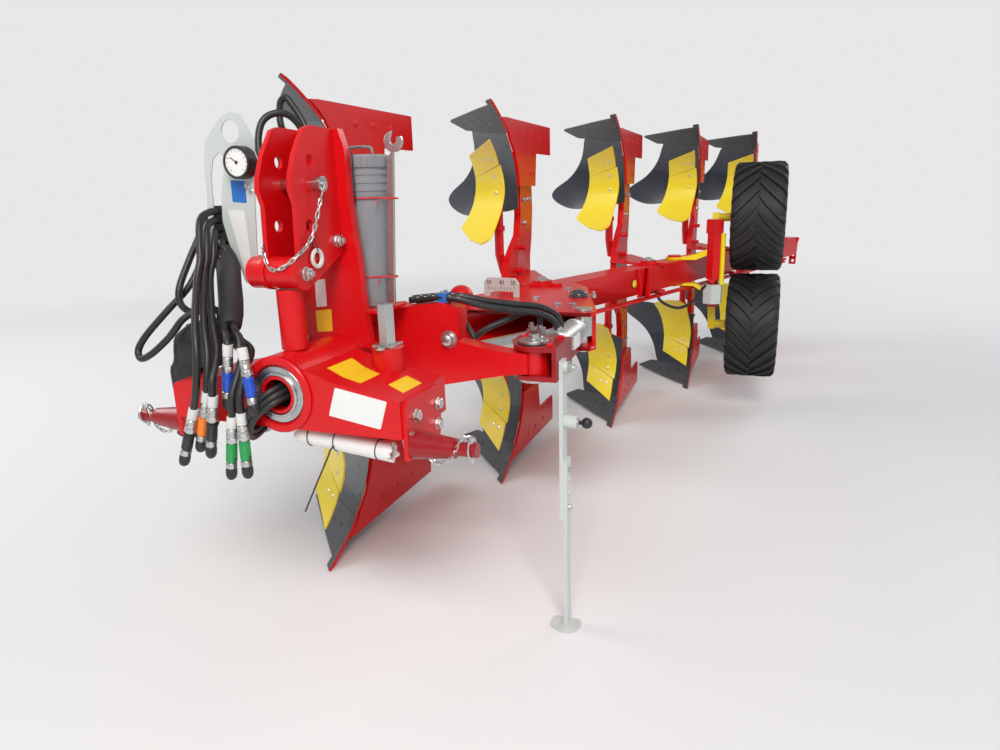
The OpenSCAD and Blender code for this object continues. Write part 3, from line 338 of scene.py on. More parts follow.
class Form:
    """Points in millimetres and the faces between them, gathered into one piece."""

    def __init__(self):
        self.points = []
        self.faces = []

    def add(self, points, faces):
        """More points, and faces that count from the first of them."""
        first = len(self.points)
        self.points += [Vector(p) for p in points]
        self.faces += [[first + k for k in face] for face in faces]
        return self

    def slab(self, low, high):
        """A closed body between two rings of equally many points."""
        n = len(low)
        faces = [list(range(n - 1, -1, -1)), list(range(n, 2 * n))]
        faces += [[k, (k + 1) % n, n + (k + 1) % n, n + k] for k in range(n)]
        return self.add([*low, *high], faces)

    def prism(self, outline, low, high, across="z"):
        """An outline of (x, y) or (x, z), drawn out from low to high along the third axis."""
        lift = {"z": lambda p, h: (p[0], p[1], h), "y": lambda p, h: (p[0], h, p[1])}[across]
        area = sum(a[0] * b[1] - b[0] * a[1] for a, b in zip(outline, outline[1:] + outline[:1]))
        ring = list(outline) if (area > 0) != (across == "y") else list(reversed(outline))
        return self.slab([lift(p, low) for p in ring], [lift(p, high) for p in ring])

    def block(self, low, high):
        """A box between two corners."""
        outline = [(low[0], low[1]), (high[0], low[1]), (high[0], high[1]), (low[0], high[1])]
        return self.prism(outline, low[2], high[2])

    def turned(self, profile, base, direction, steps=24, turn=0.0, closed=False):
        """A round piece: each row of the profile is (radius, height along direction)."""
        base, direction = Vector(base), Vector(direction).normalized()
        side = direction.orthogonal().normalized()
        side.rotate(Quaternion(direction, turn))
        across = direction.cross(side)
        points, rows = [], []
        for radius, height in profile:
            middle = base + direction * height
            round_row = circle(middle, radius, side, across, steps) if radius >= 1e-6 else [middle]
            rows.append([len(points) + k for k in range(len(round_row))])
            points += round_row
        faces = []
        pairs = list(zip(rows, rows[1:])) + ([(rows[-1], rows[0])] if closed else [])
        for low, high in pairs:
            for k in range(steps):
                a, b = low[k % len(low)], low[(k + 1) % len(low)]
                c, d = high[(k + 1) % len(high)], high[k % len(high)]
                face = [a, b, c, d]
                faces.append([v for j, v in enumerate(face) if v not in face[:j]])
        if not closed:
            faces += [list(reversed(rows[0])), rows[-1]]
        return self.add(points, [f for f in faces if len(f) > 2])

    def swept(self, line, radius, sides=12, closed=False):
        """A round rod or wire along a line of points."""
        line = [Vector(p) for p in line]
        n = len(line)
        points, faces = [], []
        side = None
        for k, p in enumerate(line):
            ahead = line[(k + 1) % n] if closed else line[min(k + 1, n - 1)]
            behind = line[k - 1] if closed else line[max(k - 1, 0)]
            t = (ahead - behind).normalized()
            side = t.orthogonal() if side is None else side - t * side.dot(t)
            side.normalize()
            points += circle(p, radius, side, t.cross(side), sides)
        for k in range(n if closed else n - 1):
            a, b = k * sides, ((k + 1) % n) * sides
            faces += [[a + j, a + (j + 1) % sides, b + (j + 1) % sides, b + j] for j in range(sides)]
        if not closed:
            faces += [list(range(sides - 1, -1, -1)), list(range((n - 1) * sides, n * sides))]
        return self.add(points, faces)

    def lofted(self, rings):
        """A closed body through rings of equally many points."""
        n = len(rings[0])
        faces = [[k * n + j, k * n + (j + 1) % n, (k + 1) * n + (j + 1) % n, (k + 1) * n + j]
                 for k in range(len(rings) - 1) for j in range(n)]
        faces += [list(range(n - 1, -1, -1)), list(range((len(rings) - 1) * n, len(rings) * n))]
        return self.add([p for ring in rings for p in ring], faces)

    def plate_of(self, front, back):
        """A closed sheet between two grids of points."""
        n, m = len(front) - 1, len(front[0]) - 1
        points = [p for row in front for p in row] + [p for row in back for p in row]
        count = (n + 1) * (m + 1)

        def k(i, j):
            return i * (m + 1) + j

        faces = []
        for i in range(n):
            for j in range(m):
                faces.append([k(i, j), k(i + 1, j), k(i + 1, j + 1), k(i, j + 1)])
                faces.append([k(i, j + 1) + count, k(i + 1, j + 1) + count, k(i + 1, j) + count,
                              k(i, j) + count])
            faces.append([k(i, 0), k(i, 0) + count, k(i + 1, 0) + count, k(i + 1, 0)])
            faces.append([k(i + 1, m), k(i + 1, m) + count, k(i, m) + count, k(i, m)])
        for j in range(m):
            faces.append([k(0, j + 1), k(0, j + 1) + count, k(0, j) + count, k(0, j)])
            faces.append([k(n, j), k(n, j) + count, k(n, j + 1) + count, k(n, j + 1)])
        return self.add(points, faces)

    def bolt(self, base, direction, size):
        """A hexagon head on a washer; size is the thread's diameter."""
        height = 0.14 * size
        self.turned([(0.55 * size, 0), (size, 0), (size, height), (0.5 * size, height)], base, direction, 20)
        top = height + 0.64 * size
        return self.turned([(0.0, height), (0.87 * size, height), (0.87 * size, top - 0.08 * size),
                            (0.74 * size, top), (0.0, top)], base, direction, 6, random.random())

    def nut(self, base, direction, size):
        """A nut with the bolt's threaded end standing out of it."""
        self.bolt(base, direction, size)
        start = 0.7 * size
        return self.turned([(0.5 * size, start), (0.5 * size, start + 0.42 * size),
                            (0.40 * size, start + 0.52 * size)], base, direction, 12)

    def mirrored(self):
        """The same again, turned over about the beam's middle."""
        points = [Vector((p.x, p.y, 2 * BEAM_Z - p.z)) for p in self.points]
        return self.add(points, [list(reversed(f)) for f in list(self.faces)])

    def at_furrow(self, number):
        """A copy, moved from the first furrow to another."""
        ahead = Vector(((number - 1) * STEP[0], (number - 1) * STEP[1], 0))
        return Form().add([p + ahead for p in self.points], self.faces)


PIECE_CREASE = 30.0
NODE_CREASE = 28.0


def sharpen(mesh, degrees):
    """Smooth faces, but sharp edges where they meet at more than this angle."""
    mesh.shade_smooth()
    mesh.set_sharp_from_angle(angle=math.radians(degrees))


def round_edges(piece, width, degrees):
    """Rounds the edges that are sharper than this angle, over a width in millimetres."""
    bevel = piece.modifiers.new("rounded edges", "BEVEL")
    bevel.width = width / 1000
    bevel.segments = 2
    bevel.limit_method = "ANGLE"
    bevel.angle_limit = math.radians(degrees)
    bevel.harden_normals = True


def make_piece(name, form, material, body, slot=None, replaces=(), edge=0.0, smooth=35.0):
    """A form as a piece on a body; material is a slot's name, or else a finish with its slot beside it."""
    mesh = bpy.data.meshes.new(name)
    mesh.from_pydata([at(*p) for p in form.points], [], form.faces)
    mesh.validate()
    sharpen(mesh, smooth)
    piece = in_scene(name, mesh)
    mesh.materials.append(material if slot else FINISH[material])
    if edge:
        round_edges(piece, edge, PIECE_CREASE)
    slot = slot or material
    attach(piece, body)
    if replaces:
        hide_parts(*replaces)
    return piece


def dress(node, edge):
    """A CAD node's own shape with its edges rounded as the real piece's are."""
    shape = bmesh.new()
    shape.from_mesh(NODES[node].data)
    bmesh.ops.remove_doubles(shape, verts=shape.verts, dist=2e-5)
    bmesh.ops.dissolve_limit(shape, angle_limit=math.radians(0.6), verts=shape.verts, edges=shape.edges)
    mesh = bpy.data.meshes.new(node + "_shape")
    shape.to_mesh(mesh)
    shape.free()
    sharpen(mesh, NODE_CREASE)
    piece = in_scene(node + "_shape", mesh)
    slot = SLOT_OF[node]
    mesh.materials.clear()
    mesh.materials.append(FINISH[slot])
    round_edges(piece, edge, NODE_CREASE)
    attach(piece, BODY_OF[node])
    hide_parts(node)


def smooth_line(points, per_span=8):
    """Points on a smooth curve through the given ones."""
    points = [Vector(p) for p in points]
    ends = [2 * points[0] - points[1]] + points + [2 * points[-1] - points[-2]]
    line = []
    for k in range(1, len(ends) - 2):
        a, b, c, d = ends[k - 1:k + 3]
        for j in range(per_span):
            t = j / per_span
            line.append(0.5 * (2 * b + (c - a) * t + (2 * a - 5 * b + 4 * c - d) * t * t
                               + (3 * b - a - 3 * c + d) * t * t * t))
    return line + [points[-1]]


def shifted(line, place):
    """A line of points, measured from a place."""
    return [(place[0] + x, place[1] + y, place[2] + z) for x, y, z in line]


# Free hoses
HOSE_Y = PANEL_Y + 0.3
HOSE_D = 20.0
COUPLING_H = 149.0
# Each route runs from the panel's slot to its coupling; the last two points give the coupling's axis
FREE_ROUTES = [
    [[10, HOSE_Y, 1345], [10, -362, 1345], [15, -408, 1326], [32, -440, 1268], [44, -459, 1221],
     [51, -488, 1168], [92, -558, 1065], [118, -594, 989], [113, -606, 904], [90, -604, 833],
     [26, -604, 669]],
    [[10, HOSE_Y, 1320], [10, -354, 1320], [18, -388, 1306], [33, -414, 1264], [43, -433, 1221],
     [50, -462, 1168], [99, -534, 1063], [131, -570, 988], [139, -592, 918], [127, -590, 869],
     [79, -590, 710]],
    [[11, HOSE_Y, 1294], [11, -348, 1294], [22, -368, 1286], [34, -388, 1262], [43, -407, 1221],
     [49, -436, 1168], [106, -510, 1062], [148, -552, 988], [165, -602, 919], [158, -602, 861],
     [125, -602, 701]],
    [[2, HOSE_Y, 1262], [2, -357, 1262], [18, -372, 1244], [38, -378, 1221], [54, -382, 1200],
     [104, -447, 1110], [154, -520, 1044], [184, -550, 1034], [201, -568, 1012], [174, -569, 832]],
    [[3, HOSE_Y, 1236], [3, -344, 1236], [14, -354, 1222], [28, -362, 1203], [44, -367, 1182],
     [95, -435, 1091], [145, -508, 1025], [206, -528, 985], [226, -566, 945], [225, -604, 882],
     [219, -604, 838], [188, -604, 647]],
    [[30, HOSE_Y, 1236], [30, -344, 1236], [42, -350, 1222], [54, -352, 1203], [64, -352, 1182],
     [115, -421, 1091], [165, -494, 1025], [232, -520, 990], [249, -567, 950], [247, -600, 883],
     [245, -601, 845], [244, -602, 656]],
    [[25, HOSE_Y, 1262], [25, -347, 1262], [40, -361, 1248], [62, -364, 1224], [76, -367, 1200],
     [124, -433, 1110], [174, -506, 1044], [222, -545, 1026], [258, -582, 1004], [292, -600, 831]]]
COUPLING_COLOURS = [FINISH["black_plastic"], ORANGE_CAP, FINISH["black_plastic"], BLUE_CAP, GREEN_CAP,
                    GREEN_CAP, BLUE_CAP]
# Slack hoses that loop out from the rubber block and end on the bag
GROMMET_X = -14.0
LOOP_Y = HOSE_Y + 12
BAG_TOP = 1040.0
LOOPS = [
    [[GROMMET_X, LOOP_Y, 1335], [-36, LOOP_Y, 1335], [-52, -321, 1318], [-58, -345, 1275],
     [-62, -392, 1210], [-66, -436, 1140], [-62, -446, 1095], [-44, -432, 1068], [-20, -410, 1072],
     [8, -398, 1072], [26, -394, 1062], [26, -394, BAG_TOP]],
    [[GROMMET_X, LOOP_Y, 1250], [-36, LOOP_Y, 1250], [-56, -320, 1238], [-62, -350, 1195],
     [-72, -400, 1132], [-113, -450, 1070], [-170, -480, 1005], [-196, -494, 962],
     [-180, -504, 938], [-140, -500, 954], [-91, -486, 994], [-60, -484, 1022], [-38, -474, 1050],
     [-16, -456, 1068], [6, -440, 1072], [14, -434, 1062], [14, -434, BAG_TOP]]]


def coupling(index, foot, way):
    """White sleeve on the hose, ferrule, grip and dust cap; foot is where the hose ends."""
    sleeve = Form()
    sleeve.turned([(10.6, -34), (13.4, -33), (13.6, -18), (13.3, -3), (12.6, -1), (10.6, -1)], foot, way, 24)
    steel = Form()
    steel.turned([(12.4, 0), (13.6, 1.5), (13.8, 10), (12.9, 12), (13.8, 14), (13.8, 24), (12.2, 26)],
                 foot, way, 24)
    steel.turned([(0, 26), (14, 26), (15, 27.5), (15, 39), (14, 40.5), (0, 40.5)], foot, way, 6)
    steel.turned([(9.5, 40), (10.5, 96), (13.6, 98), (14.8, 101), (14.8, 112), (13.2, 114), (11.5, 118),
                  (11.5, 120), (8.5, 121)], foot, way, 24)
    cap = Form()
    cap.turned([(10, 116), (14.2, 117), (14.9, 120), (14.9, 134), (12.5, 143), (7, 148.6), (0, 149)],
               foot, way, 24)
    cap.swept([foot + way * h + side for h, side in (
        (124, Vector((14.0, -3, 0))), (112, Vector((19, -6, 0))), (96, Vector((18.5, -5, 0))),
        (84, Vector((14.5, -2, 0))))], 2.0, 8)
    grip = Form()
    rows = [(10.5, 44), (14.2, 45), (14.9, 50), (14.9, 55)]
    for h in range(56, 92, 6):
        rows += [(14.0, h), (14.0, h + 2), (14.9, h + 3), (14.9, h + 5)]
    grip.turned(rows + [(14.2, 94), (11, 97)], foot, way, 28)
    name = f"coupling_{index}"
    return [make_piece(name, steel, "zinc", "headstock", replaces=("couplings",), edge=0.5),
            make_piece(name + "_sleeve", sleeve, WHITE_CAP, "headstock", "zinc", edge=0.5),
            make_piece(name + "_grip", grip, COUPLING_COLOURS[index - 1], "headstock", "zinc", edge=0.4),
            make_piece(name + "_cap", cap, "black_plastic", "headstock", edge=0.5)]


def free_hose(index, route):
    """A round tube along a smooth curve."""
    name = f"hose_{index}_tube"
    line = [at(*p) for p in smooth_line(route, 4)]
    data = bpy.data.curves.new(name, "CURVE")
    data.dimensions = "3D"
    spline = data.splines.new("BEZIER")
    spline.bezier_points.add(len(line) - 1)
    for point, p in zip(spline.bezier_points, line):
        point.co = p
        point.handle_left_type = point.handle_right_type = "AUTO"
    spline.resolution_u = 4
    data.bevel_depth = HOSE_D / 2000
    data.bevel_resolution = 5
    data.use_fill_caps = True
    data.materials.append(FINISH["hose_rubber"])
    piece = in_scene(name, data)
    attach(piece, "headstock")
    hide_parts(f"hose_{index}")


SLEEVE = [((26, -355, 1240), 26, 13), ((34, -359, 1228), 33, 18), ((46, -365, 1210), 37, 23),
          ((62, -374, 1188), 38, 27), ((84, -403, 1145), 37, 29), ((109, -434, 1100), 36, 30),
          ((134, -468, 1068), 34, 29), ((150, -493, 1048), 31, 28), ((154, -499, 1043), 29, 26)]


def hose_sleeve():
    """Black sleeve that holds the right-hand hoses together."""
    rings, middles = [], [Vector(row[0]) for row in SLEEVE]
    for k, (_, half_x, half_y) in enumerate(SLEEVE):
        way = (middles[min(k + 1, len(SLEEVE) - 1)] - middles[max(k - 1, 0)]).normalized()
        side = (Vector(RIGHT) - way * way.x).normalized()
        across = way.cross(side)
        ring = []
        for t in angles(40):
            pull = 1 - 0.05 * (0.5 + 0.5 * math.sin(4 * t + 0.9 * k)) ** 2
            ring.append(middles[k] + pull * (half_x * math.cos(t) * side + half_y * math.sin(t) * across))
        rings.append(ring)
    return make_piece("hose_sleeve", Form().lofted(rings), "black_cloth", "headstock", edge=1.5, smooth=60)


def make_hoses():
    """The free hoses: first those with couplings, and then the slack loops."""
    sleeve = hose_sleeve()
    for number, route in enumerate(FREE_ROUTES, 1):
        tip, before = Vector(route[-1]), Vector(route[-2])
        way = (tip - before).normalized()
        foot = tip - COUPLING_H * way
        on_it = coupling(number, foot, way) + ([sleeve] if number == 5 else [])
        free_hose(number, route[:-1] + [foot])
    for number, route in enumerate(LOOPS, len(FREE_ROUTES) + 1):
        free_hose(number, route)


make_hoses()


# Plough bodies
LANDSIDE_X = 14.0
BOARD_X = LANDSIDE_X - 0.3
BOARD_H = 505.0
SHARE_ANGLE = 41.0
SHIN_RUN = 100.0
SEAM = 0.5
POINT_W = 54.0
BOARD_T = 8.0
SHARE_T = 12.0
SHARE_LOW = 22.0
SHARE_END = 632.0
SHARE_RUN = 480.0
SEAM_RUN = 400.0


def joint_z(s):
    """The height of the seam between share and mouldboard."""
    return 128 - 0.1 * s


def board_point(s, z):
    """A point of the body's face: s is the run away from the landside, and z the height."""
    z0 = max(z, 0)
    angle = math.radians(SHARE_ANGLE + 13 * (z0 / BOARD_H) ** 1.6)
    shin = 375 * (1 - (1 - min(z0, 500) / 500) ** 3)
    return Vector((BOARD_X - s * math.sin(angle), shin + s * math.cos(angle), z))


def board_back(s, z):
    """The direction out of the body's back."""
    a = board_point(s + 1, z) - board_point(s, z)
    b = board_point(s, z + 1) - board_point(s, z)
    return a.cross(b).normalized()


def eased(table, value):
    """A smooth value between the rows of a table of (place, value)."""
    places = [row[0] for row in table]
    for k in range(len(table) - 1):
        if value <= places[k + 1] or k == len(table) - 2:
            break
    x0, y0 = table[k]
    x1, y1 = table[k + 1]
    before = table[k - 1] if k else (2 * x0 - x1, 2 * y0 - y1)
    after = table[k + 2] if k + 2 < len(table) else (2 * x1 - x0, 2 * y1 - y0)
    t = min(max((value - x0) / (x1 - x0), 0), 1)
    m0 = (y1 - before[1]) / (x1 - before[0]) * (x1 - x0)
    m1 = (after[1] - y0) / (after[0] - x0) * (x1 - x0)
    return ((2 * t ** 3 - 3 * t ** 2 + 1) * y0 + (t ** 3 - 2 * t ** 2 + t) * m0
            + (-2 * t ** 3 + 3 * t ** 2) * y1 + (t ** 3 - t ** 2) * m1)


def board_sheet(form, runs, low, high, steps, thick, x_max=BOARD_X):
    """A sheet on the body's face, between two heights at each run, that stays clear of the landside."""
    front, back = [], []
    for s in runs:
        row, rear = [], []
        for j in range(steps + 1):
            z = low(s) + (high(s) - low(s)) * j / steps
            row.append(board_point(s, z))
            q = row[-1] + thick * board_back(s, z)
            rear.append(Vector((min(q.x, x_max), q.y, max(q.z, 0))))
        front.insert(0, row)
        back.insert(0, rear)
    form.plate_of(front, back)


def between(start, end, count):
    """Equal steps from start to end, both included."""
    return [start + (end - start) * k / count for k in range(count + 1)]


BOARD_LOW = [(100.5, 118), (200, 108), (300, 98), (400, 88), (470, 190), (540, 262), (620, 315), (700, 350),
             (752, 377), (770, 398)]
BOARD_HIGH = [(100.5, 480), (200, 487), (300, 496), (400, 503), (470, 505), (540, 499), (620, 482),
              (700, 457), (752, 432), (770, 414)]


def board_low(s):
    """The mouldboard's lower edge: the seam, and then the curve up to its wing."""
    return joint_z(s) if s <= SEAM_RUN else eased(BOARD_LOW, s)


def share_high(s):
    """The share's upper edge: just under the seam, and then down to its end."""
    if s <= SHARE_RUN:
        return joint_z(s) - SEAM
    corner = joint_z(SHARE_RUN) - SEAM
    return corner - (corner - SHARE_LOW - 9) * (s - SHARE_RUN) / (SHARE_END - SHARE_RUN)


# Run and height of each bolt in the face
BODY_BOLTS = ((140, 150), (140, 250), (150, 380), (330, 170), (330, 330), (240, 440), (120, 75), (230, 60),
              (350, 52), (40, 180), (40, 330), (10, 60), (12, 100))


def plough_body():
    """One body's sheets and their mirror image. With them come the numbers of two kinds of faces: those of
    the shin and the point, whose edges are painted, and those of the share and the point, whose paler grey is
    painted light for the sun on them."""
    form, red, grey = Form(), [], []
    runs = between(SHIN_RUN + SEAM, SEAM_RUN, 12) + between(SEAM_RUN, 700, 16)[1:] + between(700, 770, 6)[1:]
    board_sheet(form, runs, board_low, lambda s: eased(BOARD_HIGH, s), 20, BOARD_T)
    first = len(form.faces)
    board_sheet(form, between(0, SHIN_RUN, 5), joint_z, lambda s: 466 + 0.14 * s, 20, BOARD_T)
    red += range(first, len(form.faces))
    # The share's faces, which take the paler lacquer that paints the sun's light on them
    share, first = POINT_W - 16, len(form.faces)
    board_sheet(form, between(share + SEAM, SHARE_RUN, 14) + between(SHARE_RUN, SHARE_END, 6)[1:],
                lambda s: SHARE_LOW + 5 * max(s - 200, 0) / (SHARE_END - 200), share_high, 5, SHARE_T)
    grey += range(first, len(form.faces))
    first = len(form.faces)
    board_sheet(form, between(-16, share, 4), lambda s: 5, lambda s: joint_z(0) - SEAM, 8, SHARE_T,
                BOARD_X + 16)
    red += range(first, len(form.faces))
    grey += range(first, len(form.faces))
    for s, z in BODY_BOLTS:
        radius = 11 if s > 60 else 9
        form.turned([(radius + 1.2, -0.5), (radius, 0.9), (radius - 2, 1.2), (0, 1.2)],
                    board_point(s, z), -board_back(s, z), 16)
    count = len(form.faces)
    return form.mirrored(), red + [count + k for k in red], grey + [count + k for k in grey]


SKIMMER_TIP = 165.0
SKIMMER_ANGLE = math.radians(50)
SKIMMER_T = 7.0


def skimmer_point(s, z):
    """A point of the skimmer's face, by run and height."""
    y = 170 - 150 * ((z - SKIMMER_TIP - 215) / 210) ** 2
    return Vector((20 - s * math.sin(SKIMMER_ANGLE), y + s * math.cos(SKIMMER_ANGLE), z))


def skimmer_sheet(form, rows, per_row, steps):
    """Each row is [height of the right end, height of the left end, run of the right end, of the left]."""
    places = between(0, len(rows) - 1, per_row * (len(rows) - 1))
    tables = [[(k, row[c]) for k, row in enumerate(rows)] for c in range(4)]
    front, back = [], []
    for i in range(steps + 1):
        row, rear = [], []
        for t in places:
            right_z, left_z, right_s, left_s = (eased(table, t) for table in tables)
            s = right_s + (left_s - right_s) * i / steps
            z = SKIMMER_TIP + right_z + (left_z - right_z) * i / steps
            p = skimmer_point(s, z)
            a = skimmer_point(s + 1, z) - p
            b = skimmer_point(s, z + 1) - p
            row.append(p)
            rear.append(p + SKIMMER_T * a.cross(b).normalized())
        front.insert(0, row)
        back.insert(0, rear)
    form.plate_of(front, back)


SKIMMER_SHARE = [[0, 50, 18, 266], [52, 100, 20, 270], [103.5, 149.5, 26, 272]]
SKIMMER_BOARD = [[104, 150, 14, 273], [150, 182, 10, 280], [200, 225, 8, 290], [220, 240, 9, 296],
                 [250, 270, 14, 306], [300, 314, 24, 326], [345, 350, 34, 348], [385, 374, 38, 366],
                 [418, 392, 42, 362], [436, 414, 72, 300], [448, 434, 109, 231]]


def skimmer():
    """The skimmer's share and its curled board."""
    form = Form()
    skimmer_sheet(form, SKIMMER_SHARE, 3, 10)
    skimmer_sheet(form, SKIMMER_BOARD, 3, 12)
    return form


def skimmer_bolts():
    """The round heads in the skimmer's face."""
    form = Form()
    for s, h in ((70, 75), (130, 75), (80, 150), (80, 225)):
        z = SKIMMER_TIP + h
        p = skimmer_point(s, z)
        out = (skimmer_point(s, z + 1) - p).cross(skimmer_point(s + 1, z) - p).normalized()
        form.turned([(9.5, -0.5), (9, 1.0), (7, 2.0), (0, 2.2)], p, out, 16)
    return form


def dress_bodies():
    """Each furrow's two bodies, its skimmers with their bolts, and its console."""
    (body, red, grey), yellow, bolts = plough_body(), skimmer().mirrored(), skimmer_bolts().mirrored()
    for i in range(1, FURROWS + 1):
        home = f"body_pair_{i}"
        boards = make_piece(f"mouldboards_{i}", body.at_furrow(i), "graphite_steel", home,
                            replaces=(f"bottoms_{i}",), edge=1.0, smooth=40)
        boards.data.materials.append(FINISH["red_paint"])
        # The share's and point's faces take the paler lacquer, a painted light for the sun on them
        boards.data.materials.append(SHARE_PAINTED_LIGHT)
        faces = boards.data.polygons
        for k in grey:
            faces[k].material_index = 2
        for k in red:
            if faces[k].normal.x > -0.3:
                faces[k].material_index = 1
        make_piece(f"skimmer_boards_{i}", yellow.at_furrow(i), "yellow_paint", home,
                   replaces=(f"skimmers_{i}",), edge=1.0, smooth=40)
        make_piece(f"skimmer_bolts_{i}", bolts.at_furrow(i), "zinc", home)
        dress(f"console_{i}", 1.6)


dress_bodies()


# Depth wheels
TYRE_D = 640.0
TYRE_W = 300.0
LUG_H = 20.0
TREAD_R = TYRE_D / 2 - LUG_H
LUGS = 22
RIM_D = 320.0
NUTS_R = 95.0


def tyre(centre, lean):
    """A tyre with two rows of lugs; lean is how far they run back at the shoulder, in radians."""
    form = Form()
    bead = RIM_D / 2
    wall = [(0.36, bead), (0.40, bead + 6), (0.43, bead + 20), (0.455, bead + 24), (0.465, bead + 30),
            (0.49, bead + 52), (0.5, bead + 74), (0.497, bead + 92), (0.485, TREAD_R - 24),
            (0.465, TREAD_R - 10), (0.42, TREAD_R - 2), (0.3, TREAD_R), (0.1, TREAD_R + 2)]
    profile = [(r, -w * TYRE_W) for w, r in wall] + [(r, w * TYRE_W) for w, r in reversed(wall)]
    form.turned(profile, centre, RIGHT, 96, closed=True)
    for side in (-1, 1):
        for k in range(LUGS):
            lug(form, centre, side, 2 * math.pi * (k + (0.5 if side > 0 else 0)) / LUGS, lean)
    return form


# Along each lug: share of the tyre's width, the lug's half width at top and at foot, and its rise
LUG_ROWS = [(0.0, 8, 13, 19.5), (0.12, 8.5, 14, 20), (0.30, 9, 15, 20), (0.42, 10, 17, 18),
            (0.475, 11, 18, 3), (0.497, 11, 17, -22), (0.502, 9, 14, -44)]
LUG_LEAN = 0.50


def lug(form, centre, side, start, full_lean):
    """A curved bar from the middle of the tread to the shoulder, wider at its foot."""
    points = []
    for share, top, foot, rise in LUG_ROWS:
        radius = TREAD_R + rise
        base = min(radius - 3, TREAD_R - 5)
        lean = start - full_lean * (share / 0.5) ** 0.85
        across = side * share * TYRE_W
        for width, r in ((-foot, base), (-top, radius), (top, radius), (foot, base)):
            a = lean + width / radius
            points.append((centre[0] + across, centre[1] + r * math.cos(a), centre[2] + r * math.sin(a)))
    faces = [[3, 2, 1, 0]]
    for k in range(len(LUG_ROWS) - 1):
        for j in range(4):
            a, b = 4 * k + j, 4 * k + (j + 1) % 4
            faces.append([a, b, b + 4, a + 4])
    last = 4 * (len(LUG_ROWS) - 1)
    faces.append([last, last + 1, last + 2, last + 3])
    form.add(points, faces if side > 0 else [list(reversed(face)) for face in faces])


def rim(centre):
    """A dished rim with its hub."""
    half, bead = 0.4 * TYRE_W, RIM_D / 2
    profile = [(25.3, -60), (58, -60), (60, -56), (60, -20), (122, -14), (130, -30), (130, -half),
               (bead - 2, -half), (bead + 6, -half - 5), (bead + 8, -half - 1), (bead - 0.5, -half + 6),
               (bead - 0.5, half - 6), (bead + 8, half + 1), (bead + 6, half + 5), (bead - 2, half),
               (142, half), (142, 20), (134, 2), (60, -6), (60, 26), (56, 30), (25.3, 30)]
    return Form().turned(profile, centre, RIGHT, 72, closed=True)


def dress_wheels():
    """Each wheel's tyre and rim, and its nuts with the hub cap."""
    for name, side in (("lower", -1), ("upper", 1)):
        centre = (WHEEL_AT[0], WHEEL_AT[1], WHEEL_MID_Z + side * AXLE_Z)
        home = f"{name}_wheel"
        make_piece(f"tyre_tread_{name}", tyre(centre, -side * LUG_LEAN), "tyre", home,
                   replaces=(f"tyre_{name}",), edge=1.5, smooth=38)
        make_piece(f"rim_dish_{name}", rim(centre), "white_paint", home, replaces=(f"rim_{name}",), smooth=30)
        nuts = Form()
        for t in angles(6):
            place = (centre[0] - 2, centre[1] + NUTS_R * math.cos(t), centre[2] + NUTS_R * math.sin(t))
            nuts.nut(place, RIGHT, 16)
        nuts.turned([(34, 30), (36, 32), (36, 44), (30, 50), (0, 51)], centre, RIGHT, 24)
        make_piece(f"wheel_nuts_{name}", nuts, "zinc", home, edge=0.5)


dress_wheels()


# Frame, headstock and tower
NODE_EDGES = {
    "headstock": 4.0, "tower": 1.8, "link_pins": 1.5, "top_link_pin": 1.2, "turnover_cylinder": 1.5,
    "tool_post": 1.2, "hose_panel": 0.8, "grommet": 1.0, "turnover_shaft": 1.5, "turnover_arm": 5.0,
    "fork": 1.8, "pivot_pin": 1.5, "beam": 4.0, "spindle": 1.2, "width_cylinder": 1.2, "scale_plate": 0.8,
    "steering_rod": 1.2, "wheel_carrier": 2.5, "height_box": 3.0, "wheel_levers": 2.0, "wheel_arms": 2.5,
    "stand": 1.2, "stand_knob": 0.6, "gauge": 1.5}
for dressed_node, rounding in NODE_EDGES.items():
    dress(dressed_node, rounding)


# Labels, chains and ties
def label(name, corners, finish, body, slot, thick=0.6, radius=4.0):
    """A blank label with round corners on a flat face; its corners run counter-clockwise."""
    a, b, c, d = (Vector(p) for p in corners)
    wide = ((b - a).length + (c - d).length) / 2
    high = ((d - a).length + (c - b).length) / 2
    normal = (b - a).cross(d - a).normalized()
    ring = []
    for right, top, start in ((0, 0, 180), (1, 0, 270), (1, 1, 0), (0, 1, 90)):
        for k in range(5):
            t = math.radians(start + 22.5 * k)
            u = ((wide - radius if right else radius) + radius * math.cos(t)) / wide
            v = ((high - radius if top else radius) + radius * math.sin(t)) / high
            ring.append(a * (1 - u) * (1 - v) + b * u * (1 - v) + c * u * v + d * (1 - u) * v)
    form = Form().slab([p - 0.2 * normal for p in ring], [p + thick * normal for p in ring])
    return make_piece(name, form, finish, body, slot)


BOX_ARCH = [(0, 69), (85, 69), (121, 59), (164, 42), (356, 6)]


def straight(table, value):
    """A value on the straight lines between the rows of a table of (place, value)."""
    for (x0, y0), (x1, y1) in zip(table, table[1:]):
        if value <= x1:
            return y0 + (y1 - y0) * (value - x0) / (x1 - x0)
    return table[-1][1]


def box_top(x):
    """The height of the cross box's top."""
    return BEAM_Z + straight(BOX_ARCH, abs(x - AXIS_X))


def draped_label(name, corners, finish, body, slot):
    """A blank label that follows the cross box's sloping top; corners are (x, y) seen from above."""
    a, b, c, d = (Vector((*p, 0)) for p in corners)
    front, back = [], []
    for i in range(25):
        u = i / 24
        near, far = a.lerp(b, u), d.lerp(c, u)
        row = [near.lerp(far, j / 4) for j in range(5)]
        front.append([(p.x, p.y, box_top(p.x) + 0.8) for p in row])
        back.append([(p.x, p.y, box_top(p.x) - 0.2) for p in row])
    return make_piece(name, Form().plate_of(front, back), finish, body, slot)


def even_points(points, pitch):
    """Points at equal steps along a smooth curve."""
    line = smooth_line(points, 12)
    out, left = [line[0]], pitch
    for p, q in zip(line, line[1:]):
        span = (q - p).length
        while span > left:
            p = p + (q - p) * left / span
            out.append(p)
            span -= left
            left = pitch
        left -= span
    return out


